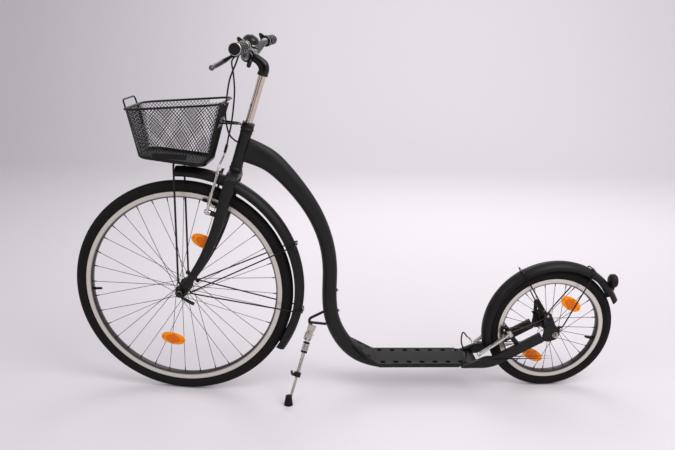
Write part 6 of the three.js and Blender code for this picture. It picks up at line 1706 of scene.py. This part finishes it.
class AddBrakes(bpy.types.Operator):
    """Model both rim brakes"""
    bl_idname = "kick_bike.brakes"
    bl_label = "Brakes"

    def execute(self, context):
        brakes = (('front', FRONT_BRAKE, FRONT_WHEEL, FRONT_SEAT, 1),
                  ('rear', REAR_BRAKE, REAR_WHEEL, REAR_SEAT, -1))
        for end, place, wheel, seat, facing in brakes:
            centre = (place.inverted() @ wheel).translation
            for name, side in SIDES:
                body = f'{end}_arm_{name}'
                brake_arm(f'{end}_brake_arm_{name}', facing * side, place, body)
                brake_pad(f'{end}_brake_pad_{name}', facing * side, place, centre, seat, body)
        noodle('front_brake', FRONT_GUIDE, FRONT_BRAKE, 'front_arm_left')
        noodle('rear_brake', REAR_GUIDE, REAR_BRAKE, 'rear_arm_right')
        brake_wire('front', FRONT_BRAKE)
        brake_wire('rear', REAR_BRAKE)
        heads = joined(*[stud_bolt(side, BRAKE_UP) for side in (-1, 1)])
        settle(heads, 'front_brake_bolts', STEERING, 'steering', 'steel', degrees=30)
        return {'FINISHED'}


class AddFenders(bpy.types.Operator):
    """Model the fenders with their wire stays and bolts"""
    bl_idname = "kick_bike.fenders"
    bl_label = "Fenders"

    def execute(self, context):
        front = (STEERING, FENDER_CENTRE, FENDER_RADIUS)
        rear = (SCOOTER, REAR_FENDER_CENTRE, REAR_FENDER_RADIUS)
        fender('front_fender', *front, 109, -17, 31, 'steering')
        fender_stay('front_fender_stays', FENDER_EYE, FRONT_SIDE, *front, (39, 5.5), 'steering')
        fender('rear_fender', *rear, 198, 27, 27, 'frame')
        for name, eye, degrees in zip(('front', 'back'), REAR_EYES, (122, 62)):
            fender_stay('rear_fender_stay_' + name, eye, REAR_SIDE, *rear, (degrees,), 'frame')
        return {'FINISHED'}


class AddBasket(bpy.types.Operator):
    """Model the basket with its net, stay and bracket"""
    bl_idname = "kick_bike.basket"
    bl_label = "Basket"

    def execute(self, context):
        return built(basket, basket_support)


class AddFrame(bpy.types.Operator):
    """Model the main tube, footboard, rear stays and rear light"""
    bl_idname = "kick_bike.frame"
    bl_label = "Frame"

    def execute(self, context):
        return built(main_tube, footboard, rear_stays, rear_light)


class AddStand(bpy.types.Operator):
    """Model the side stand"""
    bl_idname = "kick_bike.stand"
    bl_label = "Side stand"

    def execute(self, context):
        return built(stand_bracket, stand_leg, stand_spring, stand_end)


class AddCables(bpy.types.Operator):
    """Model the brake cables"""
    bl_idname = "kick_bike.cables"
    bl_label = "Cables"

    def execute(self, context):
        return built(cables)


class AddStage(bpy.types.Operator):
    """Set up the floor, the soft light and the camera"""
    bl_idname = "kick_bike.stage"
    bl_label = "Stage"

    def execute(self, context):
        stage = sizes('stage')
        bpy.context.scene.view_settings.view_transform = 'Standard'
        floor()
        camera()
        dark_card('near_card', (-0.3, -4.2, 1.0), (3.6, 1.7))
        dark_card('left_card', (-3.4, -1.2, 1.0), (1.6, 2.4))
        dark_card('right_card', (3.6, -2.0, 1.0), (0.9, 2.4))
        lamp('main_lamp', (1.6, -1.8, 3.2), (0, 0, 0.4), 2.4, stage.lamp)
        lamp('fill_lamp', (-3.0, -2.4, 2.2), (-0.3, 0, 0.6), 2.2, stage.fill)
        lamp('rear_lamp', (0.4, 2.6, 2.8), (0, 0, 0.5), 2.0, stage.fill)
        lamp('wall_lamp', (1.9, 2.2, 3.2), (1.6, 6.0, 1.0), 2.6, stage.wall)
        sky()
        return {'FINISHED'}


GROUPS = {'wheels': WheelSizes, 'bars': BarSizes, 'frame': FrameSizes, 'basket': BasketSizes,
          'colours': Colours, 'stage': StageSizes}
OPERATORS = (AddWheels, AddAxles, AddSteering, AddControls, AddBrakes, AddFenders, AddBasket, AddFrame,
             AddStand, AddCables, AddStage)


class KickBikePanel(bpy.types.Panel):
    """Lists the kick bike's pieces and their sizes"""
    bl_idname = "VIEW3D_PT_kick_bike"
    bl_label = "Kick bike"
    bl_space_type = 'VIEW_3D'
    bl_region_type = 'UI'
    bl_category = "Kick bike"

    def draw(self, context):
        for operator in OPERATORS:
            self.layout.operator(operator.bl_idname)
        for name, group in GROUPS.items():
            box = self.layout.box()
            box.label(text=name.capitalize())
            for key in group.__annotations__:
                box.prop(getattr(context.scene, 'kick_bike_' + name), key)


def register():
    for kind in (*GROUPS.values(), *OPERATORS, KickBikePanel):
        bpy.utils.register_class(kind)
    for name, group in GROUPS.items():
        setattr(bpy.types.Scene, 'kick_bike_' + name, bpy.props.PointerProperty(type=group))


def unregister():
    for name in GROUPS:
        delattr(bpy.types.Scene, 'kick_bike_' + name)
    for kind in reversed((*GROUPS.values(), *OPERATORS, KickBikePanel)):
        bpy.utils.unregister_class(kind)


def main():
    """Builds every piece and the stage."""
    register()
    for operator in OPERATORS:
        getattr(bpy.ops.kick_bike, operator.bl_idname.split('.')[1])()


if __name__ == "__main__":
    main()
